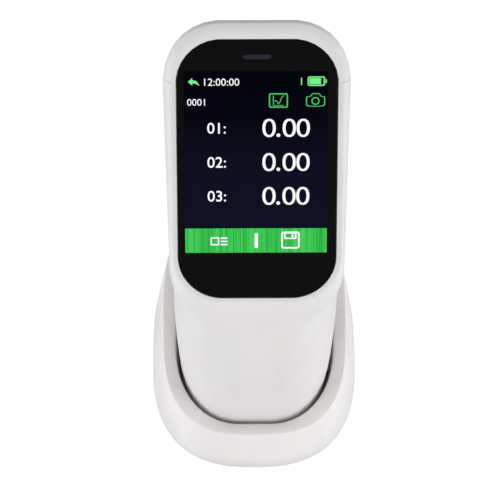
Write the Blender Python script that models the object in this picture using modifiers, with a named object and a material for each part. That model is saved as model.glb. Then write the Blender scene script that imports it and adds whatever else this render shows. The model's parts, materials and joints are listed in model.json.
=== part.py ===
"""Handheld colorimeter with an inclined screen, standing in its calibration cradle.

Metres, +Z up. The origin is on the table under the middle of the cradle, +X is to the
right of someone who faces the screen, and -Y points at them.
"""
import math
from collections import namedtuple

import bmesh
import bpy
from mathutils import Matrix, Vector

# Shared gaps and overruns
GAP = 0.0003
SEAM = 0.00015
OVERRUN = 0.002
HALF = 0.5

# How finely curves are cut: a corner of the body, a large round, a boss and a screw hole
CORNER_STEPS = 8
CRADLE_STEPS = 12
ROUND_STEPS = 24
OPTICS_STEPS = 18
BOSS_STEPS = 12
HOLE_STEPS = 8

# The stack under the instrument: feet, base plate and the floor of the socket
CRADLE_LIFT = 0.0008
BASE_PLATE_THICKNESS = 0.0026
FLOOR_THICKNESS = 0.0022
SEAT_HEIGHT = CRADLE_LIFT + BASE_PLATE_THICKNESS + GAP + FLOOR_THICKNESS + GAP

# The grip's size, and how far it stands forward of the cradle's widest line
BODY_WIDTH = 0.0660
BODY_DEPTH = 0.0684
BODY_FORWARD = 0.0030

# The cradle's rim round the grip, its spread towards the table, and its reach
SOCKET_CLEARANCE = 0.0012
RING_SIDE = 0.0048
RING_FRONT = 0.0054
RING_BACK = 0.0155
SPREAD_SIDE = 0.00495
SPREAD_FRONT = 0.0049
SPREAD_BACK = 0.0031
RIM_WIDTH = BODY_WIDTH + 2 * (SOCKET_CLEARANCE + RING_SIDE)
RIM_FRONT_REACH = BODY_DEPTH / 2 + BODY_FORWARD + SOCKET_CLEARANCE + RING_FRONT
RIM_BACK_REACH = BODY_DEPTH / 2 - BODY_FORWARD + SOCKET_CLEARANCE + RING_BACK
CRADLE_WIDTH = RIM_WIDTH + 2 * SPREAD_SIDE
CRADLE_FRONT_REACH = RIM_FRONT_REACH + SPREAD_FRONT
CRADLE_BACK_REACH = RIM_BACK_REACH + SPREAD_BACK

# The origin lies halfway between the cradle's front and back
WIDEST_Y = (CRADLE_FRONT_REACH - CRADLE_BACK_REACH) / 2
BODY_CENTRE_Y = WIDEST_Y - BODY_FORWARD

# Instrument body: its grip section, its head section and the heights between
FOOT_DRAFT_SIDE = 0.0024
FOOT_DRAFT_FRONT = 0.0015
DRAFT_STOP_SHARE = 0.40
DRAFT_POWER = 1.6
RIM_DRAFT_SHARE = 0.3
BODY_CORNER_WIDTH = 0.0262
BODY_CORNER_DEPTH = 0.0308
BODY_FOOT_ROUND = 0.0012
WALL = 0.0022
HEAD_WIDTH = 0.0719
HEAD_BACK_REACH = 0.0136
HEAD_CORNER_WIDTH = 0.0236
HEAD_FRONT_CORNER = 0.0150
HEAD_BACK_CORNER = 0.0174
HEAD_TAPER_SHARE = 0.082
HEAD_START_SHARE = 0.77
HEAD_STOP_SHARE = 0.98
BODY_POWER = 2.15
HEAD_POWER = 2.15

# Inclined screen: tilt back from upright, and the middle of the glass
SCREEN_TILT = math.radians(42.5)
SCREEN_BACKWARD = 0.0001
SCREEN_CENTRE_Y = WIDEST_Y + SCREEN_BACKWARD
SCREEN_RISE = 0.17247
SCREEN_CENTRE_Z = SEAT_HEIGHT + SCREEN_RISE
GLASS_WIDTH = 0.0599
GLASS_LENGTH = 0.1024
GLASS_CORNER = 0.0169
GLASS_THICKNESS = 0.0015
GLASS_EDGE = 0.0002
BEZEL_WIDTH = 0.0015
FACE_LIP = 0.0003
FACE_WALL = 0.0037
RIM_DROP_FRONT = 0.0042
RIM_DROP_BACK = 0.0225

# Top cap and the parting between the shells
CAP_LENGTH = 0.0165
CAP_SEAM = GLASS_LENGTH / 2 - CAP_LENGTH
PARTING_Y = BODY_CENTRE_Y
PARTING_DEPTH = 0.0160
PARTING_FILLET = 0.0400

# Display behind the glass
DISPLAY_WIDTH = 0.0565
DISPLAY_END = 0.0122
DISPLAY_LENGTH = GLASS_LENGTH - 2 * DISPLAY_END
DISPLAY_THICKNESS = 0.0028
DISPLAY_RISE = 0.0022
BRACKET_WIDTH = 0.0500
BRACKET_THICKNESS = 0.0012
BRACKET_CORNER = 0.0060
BRACKET_SCREW_X = 0.0170
BRACKET_SCREW_INSET = 0.0036
BRACKET_BOSS_RADIUS = 0.0026
STANDOFF_HEIGHT = 0.0040
STANDOFF_RADIUS = 0.0022
BOARD_THICKNESS = 0.0016
MAIN_BOARD_LENGTH = DISPLAY_LENGTH - 2 * STANDOFF_RADIUS
CHIP_HEIGHT = 0.0018
CHIP_SHARES = (
    (0.05, 0.18, 0.30, 0.20),
    (-0.28, -0.12, 0.20, 0.12),
    (0.22, -0.20, 0.24, 0.14),
    (-0.05, -0.40, 0.40, 0.08),
)
ANTENNA_WIDTH = 0.0260
ANTENNA_LENGTH = 0.0070
ANTENNA_THICKNESS = 0.0010
INDICATOR_WIDTH = 0.0102
INDICATOR_HEIGHT = 0.0024
INDICATOR_FROM_EDGE = 0.0067

# Bottom cover, measuring aperture and integrating sphere
COVER_THICKNESS = 0.0030
APERTURE_FLANGE_RADIUS = 0.0140
APERTURE_FLANGE_HEIGHT = 0.0016
APERTURE_NECK_RADIUS = 0.0108
APERTURE_NECK_HEIGHT = 0.0034
APERTURE_LIP = 0.0008
APERTURE_MOUTH_RADIUS = 0.0094
APERTURE_RADIUS = 0.0040
APERTURE_PROUD = 0.0006
APERTURE_GRIP_RADIUS = 0.0010
APERTURE_GRIP_PLACE = 0.0105
APERTURE_GRIP_DEPTH = 0.0008
SPHERE_INNER_RADIUS = 0.0190
SPHERE_WALL = 0.0020
SPHERE_PORT_RADIUS = 0.0120
SPHERE_FOOT_WIDTH = 0.0040
SPHERE_FOOT_DROP = 0.0180
SPHERE_FLANGE_REACH = 0.0025
SPHERE_FLANGE_THICKNESS = 0.0020
SPHERE_BOSS_RADIUS = 0.0120
SPHERE_BOSS_RISE = 0.0225
LAMP_RING_WIDTH = 0.0034
LAMP_COUNT = 6
LAMP_SIZE = 0.0018
LAMP_HEIGHT = 0.0009
LENS_TUBE_RADIUS = 0.0050
LENS_TUBE_BORE = 0.0036
LENS_TUBE_LENGTH = 0.0052
LENS_TUBE_TILT = math.radians(8.0)
CAMERA_WIDTH = 0.0080
CAMERA_DEPTH = 0.0070
CAMERA_HEIGHT = 0.0034
CAMERA_BARREL_RADIUS = 0.0022
CAMERA_BARREL_LENGTH = 0.0030
CAMERA_SETBACK = 0.0075

# Optics chassis and what it carries
POST_RADIUS = 0.0025
POST_CLEARANCE = 0.0010
PLATE_MARGIN = 0.0010
PLATE_THICKNESS = 0.0026
PLATE_HOLE_RADIUS = 0.0130
FRAME_WIDTH = 0.0440
FRAME_HEIGHT = 0.0580
FRAME_THICKNESS = 0.0018
FRAME_MARGIN = 0.0020
BATTERY_HEIGHT = 0.0560
BATTERY_THICKNESS = 0.0150
BATTERY_ROUND = 0.0030
MODULE_DEPTH = 0.0200
MODULE_HEIGHT = 0.0300
MODULE_EDGE = 0.0012
OPTICS_BOARD_WIDTH = 0.0380
OPTICS_BOARD_HEIGHT = 0.0500

# Buttons, switch board and charging port at the back of the grip
MEASURE_BUTTON_WIDTH = 0.0150
MEASURE_BUTTON_HEIGHT = 0.0240
MEASURE_BUTTON_RISE = 0.0860
POWER_BUTTON_SIZE = 0.0080
POWER_BUTTON_RISE = 0.0665
BUTTON_PROUD = 0.0009
BUTTON_FLANGE = 0.0012
BUTTON_FLANGE_LIP = 0.0012
BUTTON_TRAVEL = 0.0010
PLUNGER_RADIUS = 0.0018
PLUNGER_LENGTH = 0.0010
SWITCH_HEIGHT = 0.0022
SWITCH_SIZE = 0.0050
SWITCH_BOARD_WIDTH = 0.0140
SWITCH_BOARD_TOP_RISE = 0.1060
SWITCH_BOARD_BOTTOM_RISE = 0.0500
SWITCH_POST_RADIUS = 0.0020
PORT_RISE = 0.0545
PORT_WIDTH = 0.0090
PORT_HEIGHT = 0.0032
PORT_RECESS = 0.0004
PORT_TONGUE_HEIGHT = 0.0007
PORT_SHELL = 0.0004
PORT_ROUND_SHARE = 0.9

# Screws
HOUSING_SEAT = 0.0025
SHORT_SCREW_LENGTH = 0.0034
SCREW_HEAD_RADIUS = 0.0022
SCREW_HEAD_HEIGHT = 0.0014
SCREW_SHANK_RADIUS = 0.0011
SCREW_LENGTH = 0.0060
SCREW_CLEARANCE = 0.0003
BOSS_RADIUS = 0.0030
BOSS_BITE = 0.0008
BOSS_LENGTH = 0.0100
HOUSING_SCREW_LOW_RISE = 0.0640
HOUSING_SCREW_HIGH_RISE = 0.1150

# Cradle
CRADLE_FRONT_POWER = 2.55
CRADLE_BACK_POWER = 3.85
RIM_FRONT_POWER = 2.85
RIM_BACK_POWER = 3.45
RIM_FRONT_HEIGHT = 0.0251
RIM_TILT = math.radians(17.0)
RIM_ROUND = 0.0006
RING_DROP = 0.0026
CRADLE_WALL = 0.0020
CRADLE_EDGE = 0.0004
FLOOR_FILLET = 0.0010
FOOT_RADIUS = 0.0050
FOOT_RECESS = 0.0010
FOOT_EDGE = 0.0003
FOOT_INSET = 0.0135
CRADLE_BOSS_HEIGHT = 0.0060
TILE_RADIUS = 0.0150
TILE_THICKNESS = 0.0019
TILE_EDGE = 0.0002
HOLDER_WALL = 0.0020
HOLDER_FLOOR = 0.0008
HOLDER_RISE = 0.0003

# Colour, roughness and metallic value of each kind of finish
Finish = namedtuple("Finish", "colour roughness metallic")
SHELL_WHITE = Finish((0.80, 0.79, 0.78), 0.50, 0.0)
CRADLE_WHITE = Finish((0.79, 0.77, 0.75), 0.55, 0.0)
BLACK_GLASS = Finish((0.010, 0.010, 0.012), 0.08, 0.0)
INDICATOR_VIOLET = Finish((0.06, 0.05, 0.11), 0.30, 0.0)
DISPLAY_NAVY = Finish((0.004, 0.005, 0.020), 0.30, 0.0)
PLATED_STEEL = Finish((0.60, 0.60, 0.60), 0.35, 1.0)
DARK_STEEL = Finish((0.16, 0.16, 0.17), 0.40, 1.0)
BOARD_GREEN = Finish((0.02, 0.16, 0.07), 0.45, 0.0)
INNER_BLACK = Finish((0.03, 0.03, 0.03), 0.60, 0.0)
SPHERE_WHITE = Finish((0.90, 0.90, 0.88), 0.80, 0.0)
CELL_BLUE = Finish((0.05, 0.18, 0.42), 0.45, 0.0)
BUTTON_GREY = Finish((0.36, 0.37, 0.38), 0.55, 0.0)
RUBBER_GREY = Finish((0.10, 0.10, 0.10), 0.90, 0.0)
TILE_WHITE = Finish((0.93, 0.93, 0.91), 0.15, 0.0)

# A level cut through the body: half width, reach to the front and back, corner sizes
Section = namedtuple(
    "Section",
    "half_width front back corner_width corner_front corner_back taper power back_power",
)
# A cutting plane that holds the X direction: its height at Y = 0, and its rise along Y
Plane = namedtuple("Plane", "height slope")


def start_empty():
    """Remove what the scene holds and make the two collections."""
    for thing in list(bpy.data.objects):
        bpy.data.objects.remove(thing, do_unlink=True)
    for name in ("colorimeter", "colorimeter_cutters"):
        group = bpy.data.collections.new(name)
        bpy.context.scene.collection.children.link(group)


def mix(first, second, share):
    """The tuple that lies at this share of the way from the first to the second."""
    return type(first)(*(low + (high - low) * share for low, high in zip(first, second)))


def smooth(share):
    """A soft start and a soft stop between 0 and 1."""
    held = min(max(share, 0), 1)
    return held * held * (3 - 2 * held)


def signed_power(value, power):
    return math.copysign(abs(value) ** power, value)


def shrink(section, amount):
    """The same section, this far inside on every side."""
    return section._replace(
        half_width=section.half_width - amount,
        front=section.front + amount,
        back=section.back - amount,
        corner_width=section.corner_width - amount,
        corner_front=section.corner_front - amount,
        corner_back=section.corner_back - amount,
    )


def even_section(width, depth, centre_y, corner_width, corner_depth, power):
    """A section whose front and back are alike."""
    return Section(
        half_width=width / 2,
        front=centre_y - depth / 2,
        back=centre_y + depth / 2,
        corner_width=corner_width,
        corner_front=corner_depth,
        corner_back=corner_depth,
        taper=0,
        power=power,
        back_power=power,
    )


def oval_section(width, depth, centre_y, power):
    """A section that is corner all the way round: an ellipse, or a squarer curve."""
    return even_section(width, depth, centre_y, width / 2, depth / 2, power)


def ring(section, plane, steps=CORNER_STEPS):
    """Points round a section, anticlockwise from above, lifted onto a plane."""
    points = []
    depth = section.back - section.front
    for corner in range(4):
        power = section.back_power if corner < 2 else section.power
        for step in range(steps):
            turn = math.pi / 2 * (corner + (step + HALF) / steps)
            across = signed_power(math.cos(turn), 2 / power)
            along = signed_power(math.sin(turn), 2 / power)
            straight = section.half_width - section.corner_width
            x = math.copysign(straight, across) + across * section.corner_width
            if along > 0:
                y = section.back - section.corner_back * (1 - along)
            else:
                y = section.front + section.corner_front * (1 + along)
            x *= 1 - section.taper * (section.back - y) / depth
            points.append((x, y, plane.height + plane.slope * y))
    return points


def skin(rings, joined=False):
    """A mesh over rings with like counts. Its ends are capped, or joined to each other."""
    shape = bmesh.new()
    rows = [[shape.verts.new(point) for point in points] for points in rings]
    pairs = list(zip(rows, rows[1:]))
    if joined:
        pairs.append((rows[-1], rows[0]))
    for low, high in pairs:
        for index in range(len(low)):
            after = (index + 1) % len(low)
            shape.faces.new((low[index], low[after], high[after], high[index]))
    if not joined:
        shape.faces.new(tuple(reversed(rows[0])))
        shape.faces.new(tuple(rows[-1]))
    bmesh.ops.recalc_face_normals(shape, faces=shape.faces)
    return shape


def to_mesh(name, shape):
    mesh = bpy.data.meshes.new(name)
    shape.to_mesh(mesh)
    shape.free()
    return mesh


def box(size, centre=(0, 0, 0)):
    shape = bmesh.new()
    place = Matrix.Translation(centre) @ Matrix.Diagonal((*size, 1))
    bmesh.ops.create_cube(shape, size=1, matrix=place)
    return shape


def cylinder(radius, height, centre=(0, 0, 0), steps=ROUND_STEPS):
    """A capped cylinder along Z."""
    shape = bmesh.new()
    bmesh.ops.create_cone(
        shape, cap_ends=True, segments=steps, radius1=radius, radius2=radius,
        depth=height, matrix=Matrix.Translation(centre),
    )
    return shape


def slab(width, length, corner, low, high, centre_y=0, steps=8):
    """A flat plate with round corners, between two heights."""
    section = even_section(width, length, centre_y, corner, corner, 2)
    return skin([ring(section, Plane(low, 0), steps), ring(section, Plane(high, 0), steps)])


def along_y(shape, centre):
    """Turn a shape made along +Z so that it points along +Y, and move it to its centre."""
    turn = Matrix.Rotation(-math.pi / 2, 4, "X")
    shape.transform(Matrix.Translation(centre) @ turn)
    return shape


def finish_material(name, finish):
    material = bpy.data.materials.new(name + "_finish")
    material.use_nodes = True
    shader = material.node_tree.nodes["Principled BSDF"]
    shader.inputs["Base Color"].default_value = (*finish.colour, 1)
    shader.inputs["Roughness"].default_value = finish.roughness
    shader.inputs["Metallic"].default_value = finish.metallic
    material.diffuse_color = (*finish.colour, 1)
    return material


def add_part(name, mesh, finish, parent=None):
    """One named sub-part with a material of its own, in the colorimeter's collection."""
    part = bpy.data.objects.new(name, mesh)
    bpy.data.collections["colorimeter"].objects.link(part)
    if not mesh.materials:
        mesh.materials.append(finish_material(name, finish))
    mesh.shade_smooth()
    mesh.set_sharp_from_angle(angle=math.radians(35))
    part.parent = parent
    return part


def add_cutter(name, shape):
    """A shape that only cuts, joins or trims: it isn't part of the object."""
    cutter = bpy.data.objects.new(name, to_mesh(name, shape))
    bpy.data.collections["colorimeter_cutters"].objects.link(cutter)
    cutter.hide_render = True
    cutter.display_type = "WIRE"
    return cutter


def combine(part, operation, cutter):
    """Cut, join or trim a part with another shape."""
    step = part.modifiers.new(cutter.name, "BOOLEAN")
    step.operation = operation
    step.object = cutter
    step.solver = "EXACT"
    step.use_self = operation == "INTERSECT"


def cut(part, name, shape):
    combine(part, "DIFFERENCE", add_cutter(name, shape))


def join(part, name, shape):
    combine(part, "UNION", add_cutter(name, shape))


def trim(part, name, shape):
    combine(part, "INTERSECT", add_cutter(name, shape))


def soften(part, width, segments=2):
    """Round the sharp edges of a part."""
    step = part.modifiers.new("soften", "BEVEL")
    step.width = width
    step.segments = segments
    step.limit_method = "ANGLE"
    step.angle_limit = math.radians(50)


def turned_mesh(name, profile):
    """The mesh of a turned shape's profile, in X and Z, closed into a loop."""
    shape = bmesh.new()
    corners = [shape.verts.new((radius, 0, height)) for radius, height in profile]
    on_axis = profile[0][0] == 0 and profile[-1][0] == 0
    links = list(zip(corners, corners[1:]))
    if not on_axis:
        links.append((corners[-1], corners[0]))
    for first, second in links:
        shape.edges.new((first, second))
    return to_mesh(name, shape)


def turn_round(part, steps=ROUND_STEPS):
    """Spin the part's profile about its own Z axis."""
    step = part.modifiers.new("turn", "SCREW")
    step.axis = "Z"
    step.steps = steps
    step.render_steps = steps
    step.use_merge_vertices = True
    step.merge_threshold = 0.00001


def arc(radius, start, end, steps, centre=(0, 0)):
    """Points of an arc, in degrees from +X."""
    points = []
    for step in range(steps + 1):
        turn = math.radians(start + (end - start) * step / steps)
        points.append((centre[0] + radius * math.cos(turn), centre[1] + radius * math.sin(turn)))
    return points


# The body's sections and planes

GRIP = even_section(
    BODY_WIDTH, BODY_DEPTH, BODY_CENTRE_Y, BODY_CORNER_WIDTH, BODY_CORNER_DEPTH, BODY_POWER,
)
FOOT = GRIP._replace(
    half_width=GRIP.half_width - FOOT_DRAFT_SIDE, front=GRIP.front + FOOT_DRAFT_FRONT,
)
FACE_MARGIN = BEZEL_WIDTH + FACE_LIP
FACE_HALF_LENGTH = GLASS_LENGTH / 2 + FACE_MARGIN
FACE_REACH = FACE_HALF_LENGTH * math.sin(SCREEN_TILT)
FACE_CORNER = GLASS_CORNER + FACE_MARGIN
HEAD = Section(
    half_width=HEAD_WIDTH / 2,
    front=GRIP.front,
    back=GRIP.back + HEAD_BACK_REACH,
    corner_width=HEAD_CORNER_WIDTH,
    corner_front=HEAD_FRONT_CORNER,
    corner_back=HEAD_BACK_CORNER,
    taper=HEAD_TAPER_SHARE,
    power=HEAD_POWER,
    back_power=HEAD_POWER,
)
FACE = Section(
    half_width=GLASS_WIDTH / 2 + FACE_MARGIN,
    front=SCREEN_CENTRE_Y - FACE_REACH,
    back=SCREEN_CENTRE_Y + FACE_REACH,
    corner_width=FACE_CORNER,
    corner_front=FACE_CORNER * math.sin(SCREEN_TILT),
    corner_back=FACE_CORNER * math.sin(SCREEN_TILT),
    taper=0,
    power=2,
    back_power=2,
)
FACE_SLOPE = 1 / math.tan(SCREEN_TILT)
FACE_PLANE = Plane(SCREEN_CENTRE_Z - SCREEN_CENTRE_Y * FACE_SLOPE, FACE_SLOPE)
SCREEN_FRAME = Matrix.Translation((0, SCREEN_CENTRE_Y, SCREEN_CENTRE_Z)) @ Matrix.Rotation(
    math.pi / 2 - SCREEN_TILT, 4, "X"
)


def lowered(plane, amount):
    return plane._replace(height=plane.height - amount)


def rim_plane():
    """Where the walls start to round over: lower at the back, where the head is full."""
    extra = (RIM_DROP_BACK - RIM_DROP_FRONT) / (HEAD.back - HEAD.front)
    height = FACE_PLANE.height - RIM_DROP_FRONT + extra * HEAD.front
    return Plane(height, FACE_PLANE.slope - extra)


def drafted(share):
    """The grip's section this far up to the screen's plane, drawn in towards the foot."""
    return mix(GRIP, FOOT, max(1 - share / DRAFT_STOP_SHARE, 0) ** DRAFT_POWER)


def body_shape(inset, face_drop, foot_drop):
    """The body as a solid: outside, or moved in by a wall, or out for what stands proud."""
    foot = Plane(SEAT_HEIGHT - foot_drop, 0)
    foot_section = shrink(FOOT, inset)
    grip = shrink(GRIP, inset)
    head = shrink(HEAD, inset)
    face = shrink(FACE, inset)
    face_plane = lowered(FACE_PLANE, face_drop / math.sin(SCREEN_TILT))
    rim = lowered(rim_plane(), inset)
    rings = []
    if inset == 0:
        for turn in (0, 45):
            side = BODY_FOOT_ROUND * (1 - math.sin(math.radians(turn)))
            rise = BODY_FOOT_ROUND * (1 - math.cos(math.radians(turn)))
            rings.append(ring(shrink(foot_section, side), lowered(foot, -rise)))
        rings.append(ring(foot_section, lowered(foot, -BODY_FOOT_ROUND)))
    else:
        rings.append(ring(foot_section, foot))
    draft_steps = 3
    for step in range(1, draft_steps + 1):
        share = DRAFT_STOP_SHARE * step / draft_steps
        section = shrink(drafted(share), inset)
        rings.append(ring(section, mix(Plane(SEAT_HEIGHT, 0), FACE_PLANE, share)))
    steps = 6
    for step in range(steps + 1):
        share = HEAD_START_SHARE + (HEAD_STOP_SHARE - HEAD_START_SHARE) * step / steps
        section = mix(grip, head, smooth(step / steps))
        rings.append(ring(section, mix(Plane(SEAT_HEIGHT, 0), rim, share)))
    rounding = 7 if inset == 0 else 4
    for step in range(rounding + 1):
        turn = math.pi / 2 * step / rounding
        section = mix(head, face, 1 - math.cos(turn))
        rings.append(ring(section, mix(rim, face_plane, math.sin(turn))))
    return skin(rings)


def on_screen(shape):
    """Move a shape from the screen's own frame, +Z out of the glass, into place."""
    shape.transform(SCREEN_FRAME)
    return shape


def parting_line(offset):
    """The line between the shells, in Y and Z: up the side, then along under the screen."""
    upright = PARTING_Y + offset
    depth = PARTING_DEPTH + offset
    slope_y = math.sin(SCREEN_TILT)
    slope_z = math.cos(SCREEN_TILT)
    start_y = SCREEN_CENTRE_Y + slope_z * depth
    start_z = SCREEN_CENTRE_Z - slope_y * depth
    along = (upright - start_y) / slope_y
    bend_z = start_z + along * slope_z
    radius = PARTING_FILLET - offset
    tangent = radius * math.tan(SCREEN_TILT / 2)
    points = [(upright, SEAT_HEIGHT - OVERRUN)]
    centre = (upright + radius, bend_z - tangent)
    for point in arc(radius, 180, 180 - math.degrees(SCREEN_TILT), 8, centre):
        points.append(point)
    reach = HEAD.back + BODY_DEPTH
    points.append((upright + reach, bend_z + reach * slope_z / slope_y))
    return points


def side_prism(points):
    """A region seen from the side, made as wide as the whole object."""
    half = max(BODY_WIDTH, HEAD_WIDTH)
    rings = [[(x, y, z) for y, z in points] for x in (-half, half)]
    return skin(rings)


def front_region():
    far = GRIP.front - BODY_DEPTH
    line = parting_line(0)
    return side_prism(line + [(far, line[-1][1]), (far, line[0][1])])


def rear_region():
    far = HEAD.back + BODY_DEPTH
    line = parting_line(GAP)
    return side_prism(line + [(far + BODY_DEPTH, line[-1][1]), (far + BODY_DEPTH, line[0][1])])


def screen_block(low, high):
    """A wide block across the head, between two distances up the screen from its middle."""
    span = BODY_DEPTH * 2
    size = (span, high - low, span)
    return on_screen(box(size, (0, (low + high) / 2, 0)))


def glass_pocket(margin):
    """The room for the glass, this much wider than the glass on every side."""
    return on_screen(slab(
        GLASS_WIDTH + 2 * margin, GLASS_LENGTH + 2 * margin, GLASS_CORNER + margin,
        -GLASS_THICKNESS - GAP, OVERRUN,
    ))


def display_opening():
    width = DISPLAY_WIDTH + 2 * GAP
    length = DISPLAY_LENGTH + 2 * GAP
    depth = FACE_WALL + OVERRUN
    return on_screen(box((width, length, 2 * depth), (0, DISPLAY_RISE, 0)))


def hollow_body(name, parent):
    """The whole housing, hollow and open below, before it is split."""
    part = add_part(name, to_mesh(name, body_shape(0, 0, 0)), SHELL_WHITE, parent)
    cut(part, name + "_cavity", body_shape(WALL, FACE_WALL, OVERRUN))
    return part


def open_for_screen(part, margin):
    """Sink the glass's pocket, with the display's opening in its floor."""
    cut(part, part.name + "_pocket", glass_pocket(margin))
    cut(part, part.name + "_opening", display_opening())


BRACKET_SCREW_REACH = DISPLAY_LENGTH / 2 + BRACKET_BOSS_RADIUS + 2 * GAP
BRACKET_LENGTH = 2 * (BRACKET_SCREW_REACH + BRACKET_SCREW_INSET)


def bracket_screw_places():
    """Where the display bracket is screwed, just clear of the display's opening."""
    ends = (DISPLAY_RISE - BRACKET_SCREW_REACH, DISPLAY_RISE + BRACKET_SCREW_REACH)
    return [(x, y) for y in ends for x in (-BRACKET_SCREW_X, BRACKET_SCREW_X)]


DISPLAY_BACK = -GLASS_THICKNESS - GAP - DISPLAY_THICKNESS
BRACKET_FRONT = DISPLAY_BACK - GAP
BRACKET_BACK = BRACKET_FRONT - BRACKET_THICKNESS


def add_bracket_bosses(part, places):
    """Bosses under the face wall, each with a pilot hole for its screw."""
    top = -FACE_WALL + BOSS_BITE
    low = BRACKET_FRONT + GAP
    for index, (x, y) in enumerate(places, 1):
        centre = (x, y, (top + low) / 2)
        boss = on_screen(cylinder(BRACKET_BOSS_RADIUS, top - low, centre, BOSS_STEPS))
        join(part, f"{part.name}_boss_{index}", boss)


def add_pilot_holes(part, places):
    for index, (x, y) in enumerate(places, 1):
        radius = SCREW_SHANK_RADIUS + SCREW_CLEARANCE
        top = BRACKET_BACK + SHORT_SCREW_LENGTH
        low = BRACKET_BACK
        hole = on_screen(cylinder(radius, top - low, (x, y, (top + low) / 2), HOLE_STEPS))
        cut(part, f"{part.name}_pilot_{index}", hole)


HOUSING_HEAD_Y = PARTING_Y + GAP + HOUSING_SEAT + GAP


def housing_boss_places():
    """Centres of the bosses that the housing screws join, as X and height."""
    x = GRIP.half_width - WALL - BOSS_RADIUS + BOSS_BITE
    rises = (HOUSING_SCREW_LOW_RISE, HOUSING_SCREW_HIGH_RISE)
    return [(side * x, SEAT_HEIGHT + rise) for rise in rises for side in (-1, 1)]


def join_inside(part, name, shape):
    """Join a boss or post, held back from the outer surface by half a wall."""
    core = bpy.data.objects.get("body_core")
    if core is None:
        core = add_cutter("body_core", body_shape(WALL * HALF, FACE_WALL * HALF, OVERRUN))
    piece = add_cutter(name, shape)
    combine(piece, "INTERSECT", core)
    combine(part, "UNION", piece)


def bar_along_y(radius, y_from, y_to, x, z, steps=BOSS_STEPS):
    shape = cylinder(radius, y_to - y_from, steps=steps)
    return along_y(shape, (x, (y_from + y_to) / 2, z))


def make_front_shell(parent):
    """The front half, with room round the glass for the bezel strip."""
    part = hollow_body("front_shell", parent)
    open_for_screen(part, BEZEL_WIDTH)
    add_bracket_bosses(part, bracket_screw_places()[:2])
    for index, (x, z) in enumerate(housing_boss_places(), 1):
        boss = bar_along_y(BOSS_RADIUS, PARTING_Y - BOSS_LENGTH, PARTING_Y + OVERRUN, x, z)
        join_inside(part, f"front_boss_{index}", boss)
    trim(part, "front_region", front_region())
    cut(part, "front_above_seam", screen_block(CAP_SEAM - SEAM, CAP_SEAM + BODY_DEPTH))
    add_pilot_holes(part, bracket_screw_places()[:2])
    for index, (x, z) in enumerate(housing_boss_places(), 1):
        radius = SCREW_SHANK_RADIUS + SCREW_CLEARANCE
        tip = HOUSING_HEAD_Y - SCREW_LENGTH - GAP
        hole = bar_along_y(radius, tip, PARTING_Y + OVERRUN, x, z, HOLE_STEPS)
        cut(part, f"front_pilot_{index}", hole)
    return part


def make_rear_shell(parent):
    """The back half, with the deep wells of its screws and the buttons' openings."""
    part = hollow_body("rear_shell", parent)
    start = PARTING_Y + GAP
    for index, (x, z) in enumerate(housing_boss_places(), 1):
        tube = bar_along_y(BOSS_RADIUS, start - OVERRUN, GRIP.back, x, z)
        join_inside(part, f"rear_boss_{index}", tube)
    for index, z in enumerate(switch_post_heights(), 1):
        post = bar_along_y(SWITCH_POST_RADIUS, BOARD_REAR_Y + GAP, GRIP.back, 0, z)
        join_inside(part, f"switch_post_{index}", post)
    trim(part, "rear_region", rear_region())
    cut(part, "rear_above_seam", screen_block(CAP_SEAM - SEAM, CAP_SEAM + BODY_DEPTH))
    for index, (x, z) in enumerate(housing_boss_places(), 1):
        seat = start + HOUSING_SEAT
        radius = SCREW_HEAD_RADIUS + SCREW_CLEARANCE
        cut(part, f"screw_well_{index}", bar_along_y(radius, seat, GRIP.back + OVERRUN, x, z))
        radius = SCREW_SHANK_RADIUS + SCREW_CLEARANCE
        hole = bar_along_y(radius, start - OVERRUN, seat + OVERRUN, x, z, HOLE_STEPS)
        cut(part, f"rear_hole_{index}", hole)
    cut(part, "measure_hole", button_prism(MEASURE_BUTTON, GAP))
    cut(part, "power_hole", button_prism(POWER_BUTTON, GAP))
    cut(part, "port_hole", port_block(GAP, OVERRUN))
    return part


def make_top_cap(parent):
    """The end of the head, above the seam, with its own part of the ring."""
    part = hollow_body("top_cap", parent)
    open_for_screen(part, GAP)
    add_bracket_bosses(part, bracket_screw_places()[2:])
    trim(part, "cap_region", screen_block(CAP_SEAM, CAP_SEAM + BODY_DEPTH))
    add_pilot_holes(part, bracket_screw_places()[2:])
    return part


def make_screen_bezel(parent):
    """The thin strip round the glass, below the seam."""
    reach = BEZEL_WIDTH - SEAM
    shape = on_screen(slab(
        GLASS_WIDTH + 2 * reach, GLASS_LENGTH + 2 * reach, GLASS_CORNER + reach,
        -GLASS_THICKNESS, 0,
    ))
    part = add_part("screen_bezel", to_mesh("screen_bezel", shape), SHELL_WHITE, parent)
    cut(part, "bezel_inside", glass_pocket(GAP))
    cut(part, "bezel_above_seam", screen_block(CAP_SEAM - SEAM, CAP_SEAM + BODY_DEPTH))
    return part


# Buttons and port

Button = namedtuple("Button", "name width height rise")
MEASURE_BUTTON = Button(
    "measure_button", MEASURE_BUTTON_WIDTH, MEASURE_BUTTON_HEIGHT, MEASURE_BUTTON_RISE,
)
POWER_BUTTON = Button(
    "power_button", POWER_BUTTON_SIZE, POWER_BUTTON_SIZE, POWER_BUTTON_RISE,
)
INNER_BACK_Y = GRIP.back - WALL
PLUNGER_TIP_Y = INNER_BACK_Y - GAP - BUTTON_FLANGE - PLUNGER_LENGTH
SWITCH_TIP_Y = PLUNGER_TIP_Y - BUTTON_TRAVEL - GAP
BOARD_REAR_Y = SWITCH_TIP_Y - SWITCH_HEIGHT
BOARD_FRONT_Y = BOARD_REAR_Y - BOARD_THICKNESS


def button_prism(button, margin):
    """The button's outline carried from inside the wall to beyond the back."""
    width = button.width + 2 * margin
    height = button.height + 2 * margin
    reach = WALL + GAP + BUTTON_FLANGE * HALF
    shape = slab(width, height, width / 2 - margin, -reach, OVERRUN, steps=6)
    return along_y(shape, (0, GRIP.back, SEAT_HEIGHT + button.rise))


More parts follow.
